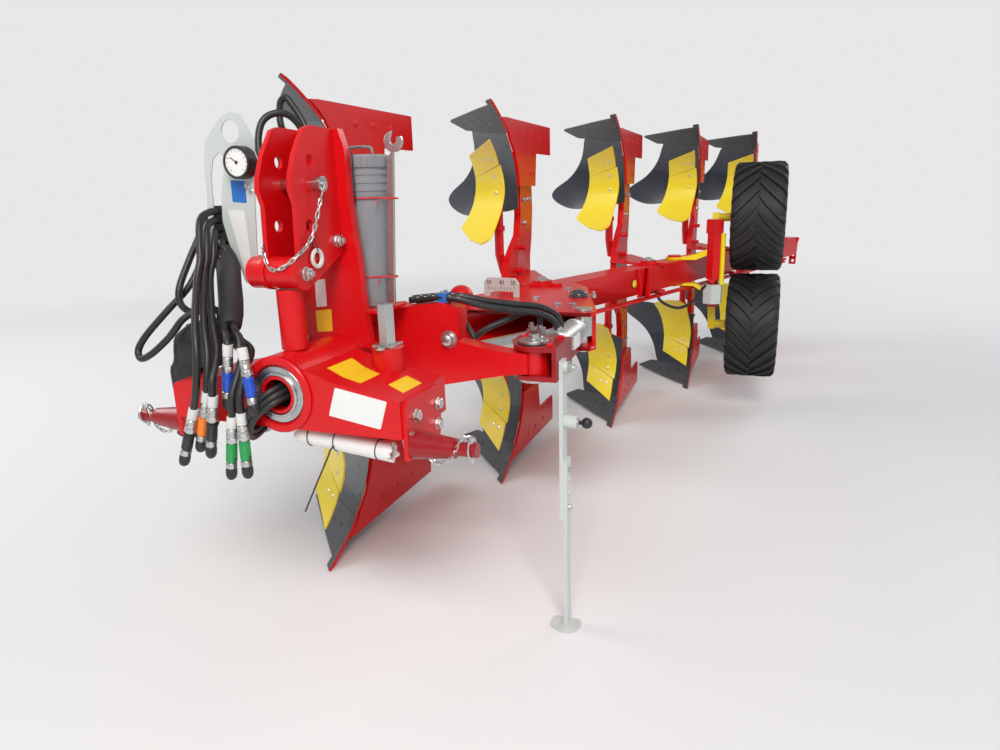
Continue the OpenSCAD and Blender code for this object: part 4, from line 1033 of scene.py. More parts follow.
def chain(form, points, pitch=17.0, wire=2.2, width=8.0):
    """A chain's links along a smooth curve, each turned a quarter from the last."""
    places = even_points(points, pitch)
    for k, (p, q) in enumerate(zip(places, places[1:])):
        middle, way = (p + q) / 2, (q - p).normalized()
        side = way.cross(Vector((0.3, 0.2, 1.0))).normalized()
        if k % 2:
            side = way.cross(side)
        ring = []
        for t in angles(14):
            reach = (pitch / 2 - width / 2 + wire * 0.9) * (1 if math.cos(t) > 0 else -1)
            ring.append(middle + way * (reach + width / 2 * math.cos(t)) + side * (width / 2 * math.sin(t)))
        form.swept(ring, wire, 8, closed=True)
    return form


# Tower and its pins
TOP_CHAIN = [(413, -381, 1404), (404, -388, 1376), (398, -402, 1330), (396, -424, 1288), (392, -452, 1256),
             (384, -486, 1234), (369, -497, 1218), (342, -500, 1203), (315, -498, 1198), (294, -492, 1211),
             (280, -484, 1240), (278, -480, 1258)]
TOWER_ROUTES = [
    [(270, -374, 1340), (250, -374, 1346), (228, -373, 1390), (220, -372, 1466), (207, -366, 1505),
     (203, -356, 1544), (208, -342, 1578), (222, -322, 1597), (244, -298, 1602), (262, -276, 1588),
     (274, -258, 1556), (280, -250, 1500), (282, -250, 1420)],
    [(264, -254, 1420), (232, -256, 1500), (205, -256, 1572), (201, -252, 1612), (207, -250, 1640),
     (224, -248, 1648), (244, -248, 1625), (268, -250, 1592), (288, -251, 1550), (302, -250, 1500),
     (306, -250, 1420)]]
RING_TIE = [(396, -428, 1284), (398, -420, 1262), (396, -410, 1240), (388, -408, 1240), (384.6, -410, 1246),
            (388, -420, 1262), (394, -428, 1282)]
LINK_PIN_Y = -505.0
LINK_PIN_Z = BEAM_Z - 116


def dress_tower():
    """The tower's bolts, the top link pin's chain with its ring, the hoses behind it and its labels."""
    bolts = Form()
    for y, z in ((-296, 1259), (-454, 1185)):
        bolts.nut((383, y, z), RIGHT, 19)
        bolts.nut((271, y, z), LEFT, 19)
    bolts.bolt((224, -273, 968), FRONT, 20)
    make_piece("tower_bolts", bolts, "zinc", "headstock", edge=0.5)
    links = Form()
    chain(links, TOP_CHAIN)
    links.swept([(278, -468, 1262), (278, -482, 1262), (278, -488, 1256), (278, -482, 1250),
                 (278, -468, 1250)], 2.4, 8)
    links.turned([(0, -4), (6, -4), (6, 2), (3, 5), (0, 5)], (413, -381, 1411), RIGHT, 12)
    links.swept([(414, -381, 1411), (418, -381, 1404), (413, -381, 1398)], 2.2, 8)
    make_piece("pin_chain", links, "zinc", "headstock")
    hoses = Form()
    for route in TOWER_ROUTES:
        hoses.swept(smooth_line(route, 5), 9.5, 14)
    make_piece("tower_hoses", hoses, "hose_rubber", "headstock")
    ring = Form().turned([(16, 0), (16, 6), (18, 8), (25, 8), (27, 6), (27, 2), (25, 0)], (386, -408, 1221),
                         RIGHT, 28, closed=True)
    make_piece("hanging_ring", ring, WHITE_CAP, "headstock", "white_paint", edge=0.6)
    tie = Form().swept(smooth_line(RING_TIE, 4), 1.3, 8)
    make_piece("ring_tie", tie, "black_plastic", "headstock")
    label("tower_strip", ((277, -273, 1066), (313, -273, 1070), (315, -273, 1149), (280, -273, 1145)),
          LABEL_WHITE, "headstock", "white_paint", radius=3)
    label("tower_label", ((273, -273, 992), (325, -273, 996), (327, -273, 1061), (272, -273, 1055)),
          LABEL_YELLOW, "headstock", "yellow_paint", radius=3)


def dress_link_pins():
    """The lynch pins of the lower link pins, each with its spring ring and its chain."""
    pins = Form()
    y, z = LINK_PIN_Y, LINK_PIN_Z
    for side in (-1, 1):
        x = AXIS_X + side * 524.5
        pins.turned([(0, -34), (3.5, -34), (5.6, -28), (5.6, 22), (9, 24), (9, 34), (0, 34)], (x, y, z),
                    UP, 14)
        pins.swept([(x, y + 25 * math.sin(t), z + 5 + 27 * math.cos(t)) for t in angles(28)], 2.6, 8,
                   closed=True)
        chain(pins, [(x - 2 * side, y, z + 36), (x - 22 * side, y - 11, z + 30),
                     (x - 52 * side, y - 19, z - 22), (x - 92 * side, y - 17, z - 38),
                     (x - 128 * side, y - 11, z - 8), (AXIS_X + side * 378, y - 15, z + 26)], 15, 1.9, 7)
        pins.bolt((AXIS_X + side * 368, y - 15, z + 30), (side, 0, 0), 10)
    make_piece("lynch_pins", pins, "zinc", "headstock")


# Cross box
SHAFT_ROUTE = [(AXIS_X, -380, BEAM_Z), (AXIS_X, -470, BEAM_Z), (AXIS_X, -540, BEAM_Z), (322, -570, 874),
               (300, -586, 858), (272, -590, 836), (248, -586, 806), (232, -574, 778), (222, -552, 762),
               (214, -520, 760), (208, -480, 768), (204, -440, 776)]
HOSE_CLIP = [(176, -480, 789), (178, -480, 768), (190, -480, 748), (210, -480, 744), (230, -480, 750),
             (240, -480, 768), (242, -480, 789)]
ROLL_START = Vector((350, -502, 761))
ROLL_END = Vector((634, -502, 734))
ROLL_R = 26.0
LONG_TIE = [(472, -529, 745), (462, -533, 732), (452, -532, 712), (428, -529, 670), (398, -525, 618),
            (352, -519, 536)]


def dress_box():
    """The cross box's blank labels and the bolts of its end plates."""
    label("box_label", ((481, -550, 836), (630, -550, 812), (653, -550, 886), (506, -550, 912)), LABEL_WHITE,
          "headstock", "white_paint")
    draped_label("box_top_label_1", ((443, -486), (550, -499), (551, -403), (444, -368)), LABEL_YELLOW,
                 "headstock", "yellow_paint")
    draped_label("box_top_label_2", ((608, -460), (664, -485), (667, -387), (610, -362)), LABEL_YELLOW,
                 "headstock", "yellow_paint")
    bolts = Form()
    for y, z in ((-493, 838), (-490, 782), (-366, 833), (-372, 778)):
        bolts.bolt((700, y, z), RIGHT, 17)
        if y < -480:
            bolts.bolt((-36, y, z), LEFT, 17)
    make_piece("end_plate_bolts", bolts, "zinc", "headstock", edge=0.5)


def dress_shaft_end():
    """The rings round the hollow shaft's mouth, and the hoses that come out of it."""
    flange = Form().turned([(80, 0), (103, 0), (103, 6), (99, 9), (84, 9), (80, 6)], (AXIS_X, -550, BEAM_Z),
                           FRONT, 64, closed=True)
    make_piece("housing_ring", flange, "red_paint", "headstock", edge=0.8)
    mouth = (AXIS_X, -554, BEAM_Z)
    ring = Form().turned([(52.3, 0), (60, 0), (60, 4), (58, 5.5), (54, 5.5), (52.3, 4)], mouth, FRONT, 48,
                         closed=True)
    make_piece("shaft_end_ring", ring, "bright_steel", "swivel", edge=0.4)
    liner = Form().turned([(41, -30), (51.7, -30), (51.7, 1), (49, 3), (43, 3), (41, 1)], mouth, FRONT, 48,
                          closed=True)
    make_piece("bore_liner", liner, "red_paint", "swivel", edge=0.4)
    bundle = Form()
    for dx, dz in ((-11, 8), (11, 9), (-10, -11), (12, -9), (0, 22)):
        bundle.swept(smooth_line(shifted(SHAFT_ROUTE, (dx, dz * 0.2, dz * 0.9)), 5), 8.6, 12)
    make_piece("shaft_hoses", bundle, "hose_rubber", "headstock")
    make_piece("hose_clip", Form().swept(smooth_line(HOSE_CLIP, 6), 3.5, 8), "zinc", "headstock")


def dress_roll():
    """Rolled paper under the cross box, with ragged ends, and the ties that hold it."""
    length = (ROLL_END - ROLL_START).length
    way = (ROLL_END - ROLL_START).normalized()
    layers = [(ROLL_R + 0.5 - 0.7 * (k % 2), length * k / 10) for k in range(1, 10)]
    roll = Form().turned([(20, 0), (ROLL_R, 0)] + layers + [(ROLL_R, length), (20, length)], ROLL_START,
                         ROLL_END - ROLL_START, 26, closed=True)
    for p in roll.points:
        reach = (p - ROLL_START).dot(way)
        if reach < 1 or reach > length - 1:
            p += way * random.uniform(-7, 7)
    make_piece("rolled_paper", roll, LABEL_WHITE, "headstock", "white_paint", smooth=50)
    ties = Form()
    for share in (0.14, 0.42, 0.86):
        p = ROLL_START.lerp(ROLL_END, share)
        ties.swept([p + Vector((0, 27.6 * math.sin(t), 27.6 * math.cos(t))) for t in angles(20)], 1.5, 6,
                   closed=True)
        ties.swept([p + Vector((0, 0, 27)), Vector((p.x, p.y, 790))], 1.5, 6)
    ties.swept(smooth_line(LONG_TIE, 5), 2.4, 8)
    make_piece("paper_ties", ties, "black_plastic", "headstock")


def dress_valve():
    """The tool post's tab, and the valve block behind the hose panel."""
    tab = Form().turned([(7, 0), (15, 0), (15, 6), (7, 6)], (542, -378, 974), UP, 24, closed=True)
    tab.block((532, -368, 974), (552, -360, 980))
    make_piece("post_tab", tab, "zinc", "headstock", edge=0.6)
    valve = Form().block((184, -304, 1082), (219, -262, 1126))
    for z in (1092, 1114):
        valve.turned([(0, 0), (9, 0), (9, 10), (7, 12), (7, 20), (0, 20)], (184, -283, z), LEFT, 6)
        valve.turned([(0, 0), (8, 0), (8, 14), (5, 16), (0, 16)], (201, -304, z), FRONT, 16)
    valve.turned([(0, 0), (11, 0), (11, 20), (8, 24), (0, 24)], (202, -283, 1126), UP, 16)
    make_piece("valve_block", valve, "bright_steel", "headstock", edge=0.8)


# Container, wrench and ties
CONTAINER_AT = (405, -164, 1058.3)
LID_HANDLE = [(-44, -20, 427), (-43, -21, 442), (-36, -22, 451), (0, -23, 453), (36, -22, 451),
              (43, -21, 442), (44, -20, 427)]
LID_TIE = [(10, -27, 452), (12, -74, 446), (13, -80, 420), (12, -78, 360), (8, -72, 300)]
WRENCH_HEAD = (507, 1522)
WRENCH_R = 29


def dress_container():
    """The round container's shell with its rings, and its lid with ribs and a handle."""
    x, y, base = CONTAINER_AT
    shell = Form().turned([
        (0, 0), (44, 0), (47.5, 4), (48.4, 18), (65.0, 330), (67.6, 332), (67.9, 340), (65.8, 342),
        (66.3, 352), (68.6, 354), (68.9, 362), (66.9, 364), (67.4, 374), (69.6, 376), (69.9, 384),
        (68.0, 386), (68.4, 398), (0, 398)], CONTAINER_AT, UP, 64)
    make_piece("container_shell", shell, "grey_plastic", "headstock", replaces=("container",), edge=0.6)
    lid = Form().turned([(0, 396), (73, 396), (74.5, 399), (74.5, 426), (71, 431), (60, 431), (58, 427),
                         (0, 427)], CONTAINER_AT, UP, 64)
    for t in angles(28):
        lid.turned([(2.0, 400), (2.0, 425)], (x + 73.6 * math.cos(t), y + 73.6 * math.sin(t), base), UP, 8)
    lid.swept(smooth_line(shifted(LID_HANDLE, CONTAINER_AT), 6), 4.0, 12)
    make_piece("container_lid", lid, "grey_plastic", "headstock", edge=0.8)


def dress_container_ties():
    """The two ties that hold the container to its post, and the one that hangs from its lid."""
    x, y, _ = CONTAINER_AT
    ties = Form()
    for z, radius, reach in ((1371, 68, 100), (1148, 54, 84)):
        turns = [math.radians(24 + 312 * k / 26) for k in range(27)]
        line = [(x + radius * math.cos(t), y + radius * math.sin(t), z) for t in turns]
        line += [(x + reach - 6, y - 12, z - 2), (x + reach, y - 8, z - 3), (x + reach + 1, y, z - 3),
                 (x + reach, y + 8, z - 3), (x + reach - 6, y + 12, z - 2)]
        ties.swept(line, 2.4, 8, closed=True)
        ties.swept([(x + radius - 6, y - 34, z), (x + radius - 4, y - 46, z - 6),
                    (x + radius - 6, y - 52, z - 20)], 1.8, 6)
    make_piece("container_ties", ties, RED_TIE, "headstock", "red_paint")
    tail = Form().swept(smooth_line(shifted(LID_TIE, CONTAINER_AT), 6), 2.0, 8)
    make_piece("lid_tie", tail, "black_plastic", "headstock")


def dress_wrench():
    """The long wrench beside the container: a tapered bar with an open head."""
    x, z = WRENCH_HEAD
    outline = [(457, 1058.5), (479, 1058.5), (506, 1494)]
    for start, stop in ((-72, 28), (96, 252)):
        turns = [math.radians(start + (stop - start) * k / 10) for k in range(11)]
        outline += [(x + WRENCH_R * math.cos(t), z + WRENCH_R * math.sin(t)) for t in turns]
        if start < 0:
            outline += [(x + 12, z + 12), (x + 9, z - 3), (x - 2, z - 8), (x - 10, z - 2), (x - 10, z + 9)]
    key = Form().prism(outline + [(484, 1480)], -170, -160, "y")
    make_piece("wrench_bar", key, "zinc", "headstock", replaces=("wrench",), edge=1.4)


# Panel, gauge and bag
PANEL_FACE = PANEL_Y - 4
GAUGE_AT = (130, PANEL_FACE - 34.3, 1476)


def dress_panel():
    """The hose panel's blank labels and its small bolts."""
    y = PANEL_FACE
    label("panel_blue_label", ((71, y, 1371), (120, y, 1367), (122, y, 1427), (72, y, 1431)),
          LABEL_BLUE, "headstock", "white_paint", 0.5, 3)
    label("panel_scale_label", ((86, y, 1176), (112, y, 1172), (108, y, 1346), (50, y, 1350)),
          LABEL_WHITE, "headstock", "white_paint", 0.5, 3)
    bolts = Form()
    for x, z in ((118, 1200), (128, 1412), (136, 1200), (140, 1400)):
        bolts.bolt((x, y, z), FRONT, 8)
    make_piece("panel_bolts", bolts, "zinc", "headstock")


def dress_gauge():
    """The pressure gauge's bezel, its dial, and its plain marks with the needle."""
    bezel = Form().turned([(37, -2), (43.5, -3), (44, 0), (43.4, 4), (40, 5.5), (37, 4)], GAUGE_AT, FRONT, 48,
                          closed=True)
    make_piece("gauge_bezel", bezel, "black_plastic", "headstock", edge=0.3)
    dial = Form().turned([(0, 0), (38, 0), (38, 1.2), (0, 1.2)], GAUGE_AT, FRONT, 48)
    make_piece("gauge_dial", dial, DIAL_WHITE, "headstock", "white_paint")
    x, y, z = GAUGE_AT
    middle = Vector((x, y - 1.2, z))
    marks = Form()
    for k in range(13):
        t = math.radians(225 - 22.5 * k)
        long = 8 if k % 3 == 0 else 5
        way = Vector((math.cos(t), 0, math.sin(t)))
        marks.swept([middle + way * (34 - long), middle + way * 34], 0.7, 6)
    marks.swept([(x, y - 2, z), (x - 20, y - 2, z + 14)], 1.1, 6)
    marks.turned([(0, 0), (4.5, 0), (4.5, 2.5), (0, 3)], (x, y - 1, z), FRONT, 16)
    make_piece("gauge_marks", marks, "black_plastic", "headstock")


BAG_LEFT = [(680, -171), (690, -170), (730, -141), (770, -151), (807, -160), (883, -159), (905, -151),
            (950, -135), (994, -118), (1020, -78), (1040, -41)]
BAG_RIGHT = [(680, -62), (690, -59), (730, -37.5), (770, -37.3), (807, -37.3), (883, -37.3), (904, -37.3),
             (907, 44), (950, 45), (994, 45), (1020, 45), (1040, 44)]


BAG_HEIGHTS = [680, 683, 690, 702, 716, 732, 750, 770, 790, 810, 830, 850, 868, 884, 896, 904, 907, 916, 930,
               946, 962, 978, 994, 1008, 1020, 1030, 1036, 1039.5]
BAG_ENDS = {680: 0.86, 683: 0.93, 1036: 0.985, 1039.5: 0.955}
BAG_LOW = 680.0
BAG_Y = -400.0
BAG_HALF_Y = 53.5
BAG_STEPS = 72


def bag_ring(z):
    """One ring of the bag, with its folds and sags; the rings at its ends are drawn in."""
    left, right = straight(BAG_LEFT, z), straight(BAG_RIGHT, z)
    share = (z - BAG_LOW) / (BAG_TOP - BAG_LOW)
    pull = BAG_ENDS.get(z, 1.0)
    half_x, half_y = (right - left) / 2 * pull, BAG_HALF_Y * pull * (0.93 + 0.07 * math.cos(6 * share))
    power = 2 / (2.7 + 1.6 * share)
    ring = []
    for t in angles(BAG_STEPS):
        c, s = math.cos(t), math.sin(t)
        fold = (0.5 + 0.5 * math.sin(5 * t + 7 * share + 1.3 * math.sin(3 * t))) ** 3
        sag = (0.5 + 0.5 * math.sin(23 * share + 2.2 * math.sin(2 * t + 4 * share))) ** 4
        inward = 1 - (0.055 * fold + 0.045 * sag) * min(1, 6 * (1 - share))
        ring.append(((left + right) / 2 + half_x * inward * math.copysign(abs(c) ** power, c),
                     BAG_Y + half_y * inward * math.copysign(abs(s) ** power, s), z))
    return ring


def dress_bag():
    """A slack bag: a shell lofted through its rings, with two seams and a cord at its mouth."""
    shell = Form().lofted([bag_ring(z) for z in BAG_HEIGHTS])
    piece = make_piece("bag_shell", shell, "black_cloth", "headstock", replaces=("bag",), smooth=60)
    soften = piece.modifiers.new("soft cloth", "SUBSURF")
    soften.levels = soften.render_levels = 1
    seams = Form()
    for height, radius in ((732, 1.6), (978, 1.6), (1030, 2.0)):
        ring = bag_ring(height)
        middle = Vector((sum(p[0] for p in ring) / BAG_STEPS, BAG_Y, height))
        proud = [Vector(p) + 0.6 * (Vector(p) - middle).normalized() for p in ring]
        seams.swept(proud, radius, 8, closed=True)
    make_piece("bag_seams", seams, "black_cloth", "headstock")


dress_tower()
dress_link_pins()
dress_box()
dress_shaft_end()
dress_roll()
dress_valve()
dress_container()
dress_container_ties()
dress_wrench()
dress_panel()
dress_gauge()
dress_bag()


# Arm, fork and furrow width
def crossing(name, line, radius, start, end, held=("swivel", "frame")):
    """A fixed hose along a smooth line, with white dashes along the thicker ones."""
    form = Form().swept(smooth_line(line, 8), radius, 16)
    dashes = len(form.faces)
    if radius > 10:
        spots = even_points(line, 9.0)
        for k in range(3, len(spots) - 5, 3):
            lift = Vector((0, -0.72, 0.72)) * (radius - 0.3)
            form.swept([spots[k] + lift, spots[k + 1] + lift], 1.0, 6)
    mesh = bpy.data.meshes.new(name)
    mesh.from_pydata([at(*p) for p in form.points], [], form.faces)
    sharpen(mesh, 40)
    mesh.materials.append(FINISH["hose_rubber"])
    mesh.materials.append(WHITE_CAP)
    for k in range(dashes, len(form.faces)):
        mesh.polygons[k].material_index = 1
    piece = in_scene(name, mesh)
    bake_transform(piece)


# Each crossing hose: its route, its radius, and where its bending starts and ends
ARM_HOSES = [
    ([(470, -54, 1058), (520, -54, 1064), (583, -54, 1070), (640, -42, 1062), (700, -12, 1040),
      (770, 36, 1022), (826, 76, 1010), (868, 106, 992), (890, 124, 968), (894, 134, 946)],
     10.5, (740, 10, 1030), (880, 116, 980)),
    ([(470, -30, 1060), (520, -30, 1066), (583, -30, 1072), (640, -18, 1068), (700, 12, 1052),
      (776, 62, 1036), (834, 106, 1024), (874, 142, 1002), (892, 162, 972), (896, 174, 946)],
     10.5, (740, 30, 1050), (880, 146, 990)),
    ([(652, 22, 932), (690, 34, 960), (745, 62, 984), (796, 96, 1004), (826, 116, 1000), (837, 125, 984),
      (836, 126, 962)], 9, (690, 40, 960), (826, 114, 990))]
LOW_ROUTES = [
    [(470, -8, 1046), (520, 0, 1040), (570, 10, 1022), (606, 18, 1000), (634, 22, 958), (652, 20, 930)],
    [(452, -8, 1030), (496, 2, 1014), (530, 12, 984), (560, 22, 960), (590, 40, 944)]]
CARRIER_HOSE = [(924, 2050, 816), (930, 2056, 790), (946, 2080, 750), (988, 2120, 713), (1044, 2180, 691),
                (1099, 2240, 709), (1140, 2290, 748), (1158, 2330, 785), (1174, 2368, 800)]


def dress_arm():
    """The arm's dome nut, and the hoses that lie on the arm and cross to the frame, with their clamp."""
    nut = Form().turned([(10, 0), (27, 0), (27, 4), (19, 4), (19, 16), (16, 22), (9, 26), (0, 27)],
                        (612, -85, 947), FRONT, 24)
    make_piece("arm_dome_nut", nut, "zinc", "swivel", edge=0.5)
    clamp = Form().block((566, -66, 1054), (600, -22, 1060))
    clamp.block((568, -64, 1060), (598, -24, 1084))
    make_piece("hose_clamp", clamp, LABEL_BLUE, "swivel", "black_plastic", edge=2.5)
    heads = Form()
    for y in (-58, -30):
        heads.bolt((583, y, 1084), UP, 7)
    make_piece("clamp_bolts", heads, "zinc", "swivel")
    crossing("arm_hose_1", *ARM_HOSES[0])
    crossing("arm_hose_2", *ARM_HOSES[1])
    low = Form()
    for route in LOW_ROUTES:
        low.swept(smooth_line(route, 8), 9, 14)
    make_piece("arm_hoses_low", low, "hose_rubber", "swivel")
    crossing("arm_hose_3", *ARM_HOSES[2])


def dress_cylinder():
    """The width cylinder's fittings, bands and blank label."""
    feed_block = Form()
    for y in (134, 174):
        feed_block.turned([(0, -8), (17, -8), (17, 4), (14, 6), (14, 18), (0, 18)], (894, y, 940), UP, 6)
    feed_block.block((800, 98, 886), (848.5, 150, 950))
    for x, y in ((812, 112), (836, 126)):
        feed_block.turned([(0, 0), (11, 0), (11, 10), (8.5, 12), (8.5, 20), (0, 20)], (x, y, 950), UP, 6)
    feed_block.turned([(0, 0), (12, 0), (12, 14), (9, 16), (0, 16)], (800, 124, 896), LEFT, 6)
    make_piece("cylinder_fittings", feed_block, "bright_steel", "frame", edge=0.8)
    rings = Form()
    for y in (118, 336):
        rings.turned([(44.2, 0), (47, 1), (47, 15), (44.2, 16)], (892, y, 896.6), (0, 1, 0), 36, closed=True)
    make_piece("cylinder_bands", rings, "zinc", "frame")
    label("cylinder_label", ((936.6, 170, 872), (936.6, 250, 872), (936.6, 250, 918), (936.6, 170, 918)),
          LABEL_WHITE, "frame", "white_paint", 0.8, 3)


def dress_pivot():
    """What lies on the main pivot, and the fork's bolts."""
    washer = Form().turned([(46.4, 0), (51, 0), (51, 3), (46.4, 3)], (*PIVOT_AT, 933.2), UP, 48, closed=True)
    make_piece("pivot_washer", washer, "black_plastic", "frame", edge=0.4)
    cap = Form().bolt((*PIVOT_AT, 945), UP, 20)
    cap.turned([(0, 0), (4, 0), (4, 10), (3, 12), (0, 12)], (PIVOT_AT[0] + 28, PIVOT_AT[1] - 8, 945), UP, 8)
    make_piece("pivot_bolt", cap, "zinc", "frame", edge=0.5)
    bolts = Form()
    for x, y in ((812, 40), (812, 76), (924, 60), (924, -55)):
        bolts.bolt((x, y, 933), UP, 13)
    make_piece("fork_bolts", bolts, "red_paint", "frame", edge=0.5)


# Beam, consoles and stand
DOME_AT = (377, 550, BEAM_TOP)
BOWL_AT = (790, 810, BEAM_TOP)
REFLECTOR_AT = (844, 1801, 877)


def dress_beam():
    """The dome, the smoky bowl, the fittings, the reflector and the wheel carrier's hose."""
    arc = [math.radians(9 * k) for k in range(10)]
    dome = Form().turned([(0, 0), (54, 0), (54, 14), (50, 18)]
                         + [(50 * math.cos(t), 24 + 50 * math.sin(t)) for t in arc] + [(0, 74)],
                         DOME_AT, UP, 40)
    make_piece("beam_dome", dome, "red_paint", "frame", edge=0.8)
    arc = [math.radians(10 * k) for k in range(1, 9)]
    bowl = Form().turned([(0, 0), (41, 0), (41, 5), (38, 7)]
                         + [(38 * math.cos(t), 7 + 24 * math.sin(t)) for t in arc] + [(0, 31)],
                         BOWL_AT, UP, 40)
    make_piece("smoky_bowl", bowl, SMOKE, "frame", "black_plastic", edge=0.8)
    fitting = Form().turned([(0, 0), (13, 0), (13, 12), (9, 14), (9, 26), (0, 26)],
                            (BOWL_AT[0] + 66, BOWL_AT[1] - 20, BEAM_TOP), UP, 6)
    for x, y in ((770, 560), (830, 560), (700, 980), (560, 1180), (640, 700)):
        fitting.bolt((x, y, BEAM_TOP), UP, 17)
    make_piece("beam_fittings", fitting, "zinc", "frame", edge=0.6)
    side = Vector((math.cos(BEAM_ANGLE), -math.sin(BEAM_ANGLE), 0))
    lens = Form().turned([(0, -1), (22, -1), (22, 3), (20, 5), (16, 6.4), (0, 7.5)], REFLECTOR_AT, side, 32)
    make_piece("round_reflector", lens, LABEL_YELLOW, "frame", "yellow_paint")
    ring = Form().turned([(21.8, -1), (25, -1), (25, 3), (21.8, 4)], REFLECTOR_AT, side, 32, closed=True)
    make_piece("reflector_ring", ring, "black_plastic", "frame")
    crossing("carrier_hose", CARRIER_HOSE, 8.5, (946, 2080, 750), (1150, 2310, 766), ("frame", "carrier"))


def dress_consoles():
    """The consoles' bolts in red and in zinc, above and below the beam."""
    red, zinc = Form(), Form()
    for x, y in ((-20, 300), (-20, 420), (-20, 560), (60, 150)):
        red.bolt((x, y, BEAM_Z + 85.3), UP, 17)
    for y, z in ((430, 120), (560, 120), (700, 120), (540, 300), (600, 300)):
        red.turned([(14, -1), (13, 1), (10, 4), (0, 5)], (26, y, z), RIGHT, 20)
    red.turned([(22.2, 0), (29, 0), (29, 24), (22.2, 24)], (-62, 300, 545), UP, 28, closed=True)
    red.block((-62, 262, 547), (-52, 274, 567))
    red.bolt((-52, 266, 557), RIGHT, 10)
    zinc.turned([(27, 0), (34, 0), (34, 4), (27, 4)], (*PIN_AT, BEAM_Z + 93.3), UP, 36, closed=True)
    zinc.bolt((*PIN_AT, BEAM_Z + 93.3), UP, 22)
    for y, z in ((520, 425), (600, 425), (520, 540)):
        zinc.nut((-10, y, z), RIGHT, 14)
    red, zinc = red.mirrored(), zinc.mirrored()
    for i in range(1, FURROWS + 1):
        make_piece(f"console_bolts_{i}", red.at_furrow(i), "red_paint", f"body_pair_{i}", edge=0.5)
        make_piece(f"console_nuts_{i}", zinc.at_furrow(i), "zinc", f"body_pair_{i}", edge=0.5)


def dress_stand():
    """The stand's bolts, and the small pads on its bars and foot."""
    x, y = STAND_AT
    nuts = Form().nut((x + 12, y, BEAM_Z - 11), RIGHT, 19)
    for z in (420, 545):
        nuts.bolt((x + 12, y, z), RIGHT, 10)
    nuts.turned([(8, 0), (14, 0), (14, 5), (8, 5)], (x + 40, y, 700), RIGHT, 20, closed=True)
    make_piece("stand_nuts", nuts, "zinc", "stand", edge=0.5)
    pads = Form()
    for z in (470, 515):
        pads.turned([(0, 0), (9, 0), (9, 3), (0, 3)], (x + 12, y, z), RIGHT, 20)
    pads.block((x - 4, y - 20, 8), (x, y + 20, 40))
    make_piece("stand_pads", pads, "white_paint", "stand", edge=0.5)


SCALE_TURN = math.radians(-10)
SCALE_AT = Vector((390, 770, BEAM_TOP))
SCALE_ALONG = Vector((math.cos(SCALE_TURN), math.sin(SCALE_TURN), 0))
SCALE_OUT = Vector((math.sin(SCALE_TURN), -math.cos(SCALE_TURN), 0))


def on_scale(along, up, lift=0.0):
    """A place on the scale plate's face, or lifted off it."""
    return SCALE_AT + SCALE_ALONG * along + Vector((0, 0, up)) + SCALE_OUT * (5 + lift)


def scale_number(text, along):
    """A raised number on the scale plate, as a mesh."""
    data = bpy.data.curves.new("number " + text, "FONT")
    data.body = text
    data.size = 0.024
    data.align_x = "CENTER"
    data.extrude = 0.0003
    holder = in_scene("number_" + text, data)
    bpy.context.view_layer.update()
    mesh = bpy.data.meshes.new_from_object(holder)
    bpy.data.objects.remove(holder)
    upright = Matrix((SCALE_ALONG, Vector(UP), SCALE_OUT)).transposed().to_4x4()
    mesh.transform(Matrix.Translation(at(*on_scale(along, 52, 0.3))) @ upright)
    mesh.materials.clear()
    mesh.materials.append(FINISH["black_plastic"])
    piece = in_scene("scale_number_" + text, mesh)
    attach(piece, "frame")


def dress_scale():
    """The scale plate's marks and its three numbers."""
    marks = Form()
    for k in range(9):
        u, high = 22 + 15.5 * k, 45 if k % 4 == 0 else 40
        face = [on_scale(u - 1, 30), on_scale(u + 1, 30), on_scale(u + 1, high), on_scale(u - 1, high)]
        marks.slab(face, [p + SCALE_OUT * 0.5 for p in face])
    make_piece("scale_marks", marks, "black_plastic", "frame")
    for text, along in (("30", 24), ("40", 86), ("50", 142)):
        scale_number(text, along)


dress_arm()
dress_cylinder()
dress_pivot()
dress_beam()
dress_consoles()
dress_stand()
dress_scale()


# Floor and light
BACKDROP = (0.80, 0.80, 0.80, 1)


FLOOR_HALF = 60.0
# The lamps: name, place, what it looks at, size, power and colour
LAMPS = (("key", (2.6, -8.0, 6.5), (0.2, -0.6, 0.7), (3.5, 3.5), 590, (1.0, 0.97, 0.93)),
         ("side", (-7.5, -1.5, 5.0), (0, 0, 0.8), (5.0, 4.0), 255, (0.94, 0.97, 1.0)),
         ("back", (4.5, 7.5, 6.0), (0.3, 1.5, 0.8), (5.0, 4.0), 235, (1.0, 1.0, 1.0)))


def camera_ray(tree):
    """1 for what the camera sees itself, and 0 for the rest."""
    return tree.nodes.new("ShaderNodeLightPath").outputs["Is Camera Ray"]


def mixed_shader(tree, share, near, far, output):
    """One shader where share is 0 and another where it is 1, linked to the tree's output."""
    mix = tree.nodes.new("ShaderNodeMixShader")
    tree.links.new(share, mix.inputs["Fac"])
    tree.links.new(near.outputs[0], mix.inputs[1])
    tree.links.new(far.outputs[0], mix.inputs[2])
    tree.links.new(mix.outputs[0], tree.nodes[output].inputs["Surface"])


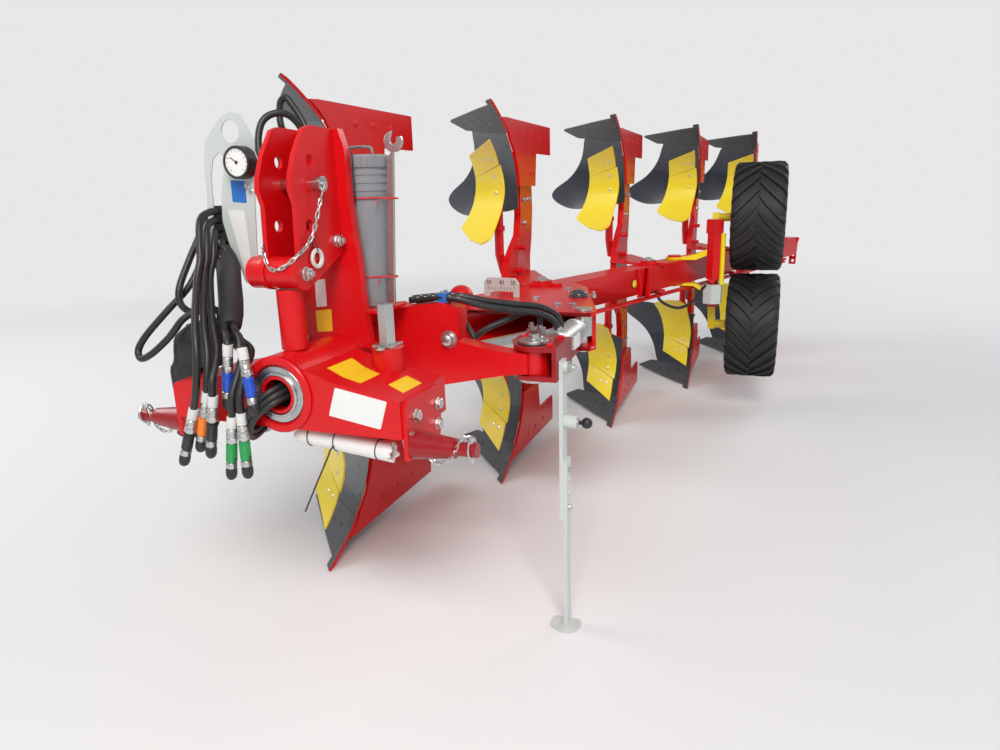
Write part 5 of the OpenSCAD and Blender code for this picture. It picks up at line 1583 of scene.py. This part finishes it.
def floor_material():
    """Pale and plain; far away it goes over into the backdrop."""
    material = bpy.data.materials.new("pale floor")
    material.use_nodes = True
    tree = material.node_tree
    shader = tree.nodes["Principled BSDF"]
    shader.inputs["Base Color"].default_value = (0.78, 0.78, 0.78, 1)
    shader.inputs["Roughness"].default_value = 0.9
    shader.inputs["Specular IOR Level"].default_value = 0.2
    place = tree.nodes.new("ShaderNodeNewGeometry")
    reach = tree.nodes.new("ShaderNodeVectorMath")
    reach.operation = "LENGTH"
    tree.links.new(place.outputs["Position"], reach.inputs[0])
    share = spread(tree, reach.outputs["Value"], 3.2, 9.0, 0.0, 1.0)
    glow = tree.nodes.new("ShaderNodeEmission")
    glow.inputs["Color"].default_value = BACKDROP
    seen = math_node(tree, "MULTIPLY", share, camera_ray(tree))
    mixed_shader(tree, seen, shader, glow, "Material Output")
    return material


def make_floor():
    """A wide flat floor, which isn't part of the object."""
    mesh = bpy.data.meshes.new("floor")
    half = FLOOR_HALF
    mesh.from_pydata([(-half, -half, 0), (half, -half, 0), (half, half, 0), (-half, half, 0)], [],
                     [(0, 1, 2, 3)])
    mesh.materials.append(floor_material())
    floor = in_scene("floor", mesh)


def make_world():
    """Soft light from all round, and the plain backdrop that the camera sees."""
    world = bpy.data.worlds.new("studio")
    bpy.context.scene.world = world
    world.use_nodes = True
    tree = world.node_tree
    background = tree.nodes["Background"]
    background.inputs["Color"].default_value = (0.86, 0.88, 0.92, 1)
    background.inputs["Strength"].default_value = 0.5
    backdrop = tree.nodes.new("ShaderNodeBackground")
    backdrop.inputs["Color"].default_value = BACKDROP
    mixed_shader(tree, camera_ray(tree), background, backdrop, "World Output")


def lamp(name, place, target, size, power, colour):
    """A soft rectangular lamp."""
    data = bpy.data.lights.new(name, "AREA")
    data.shape = "RECTANGLE"
    data.size, data.size_y = size
    data.energy = power
    data.color = colour
    light = in_scene(name, data)
    light.location = place
    light.rotation_euler = (Vector(target) - Vector(place)).to_track_quat("-Z", "Y").to_euler()


make_floor()
make_world()
for row in LAMPS:
    lamp(*row)

bpy.context.scene.view_settings.view_transform = "Standard"
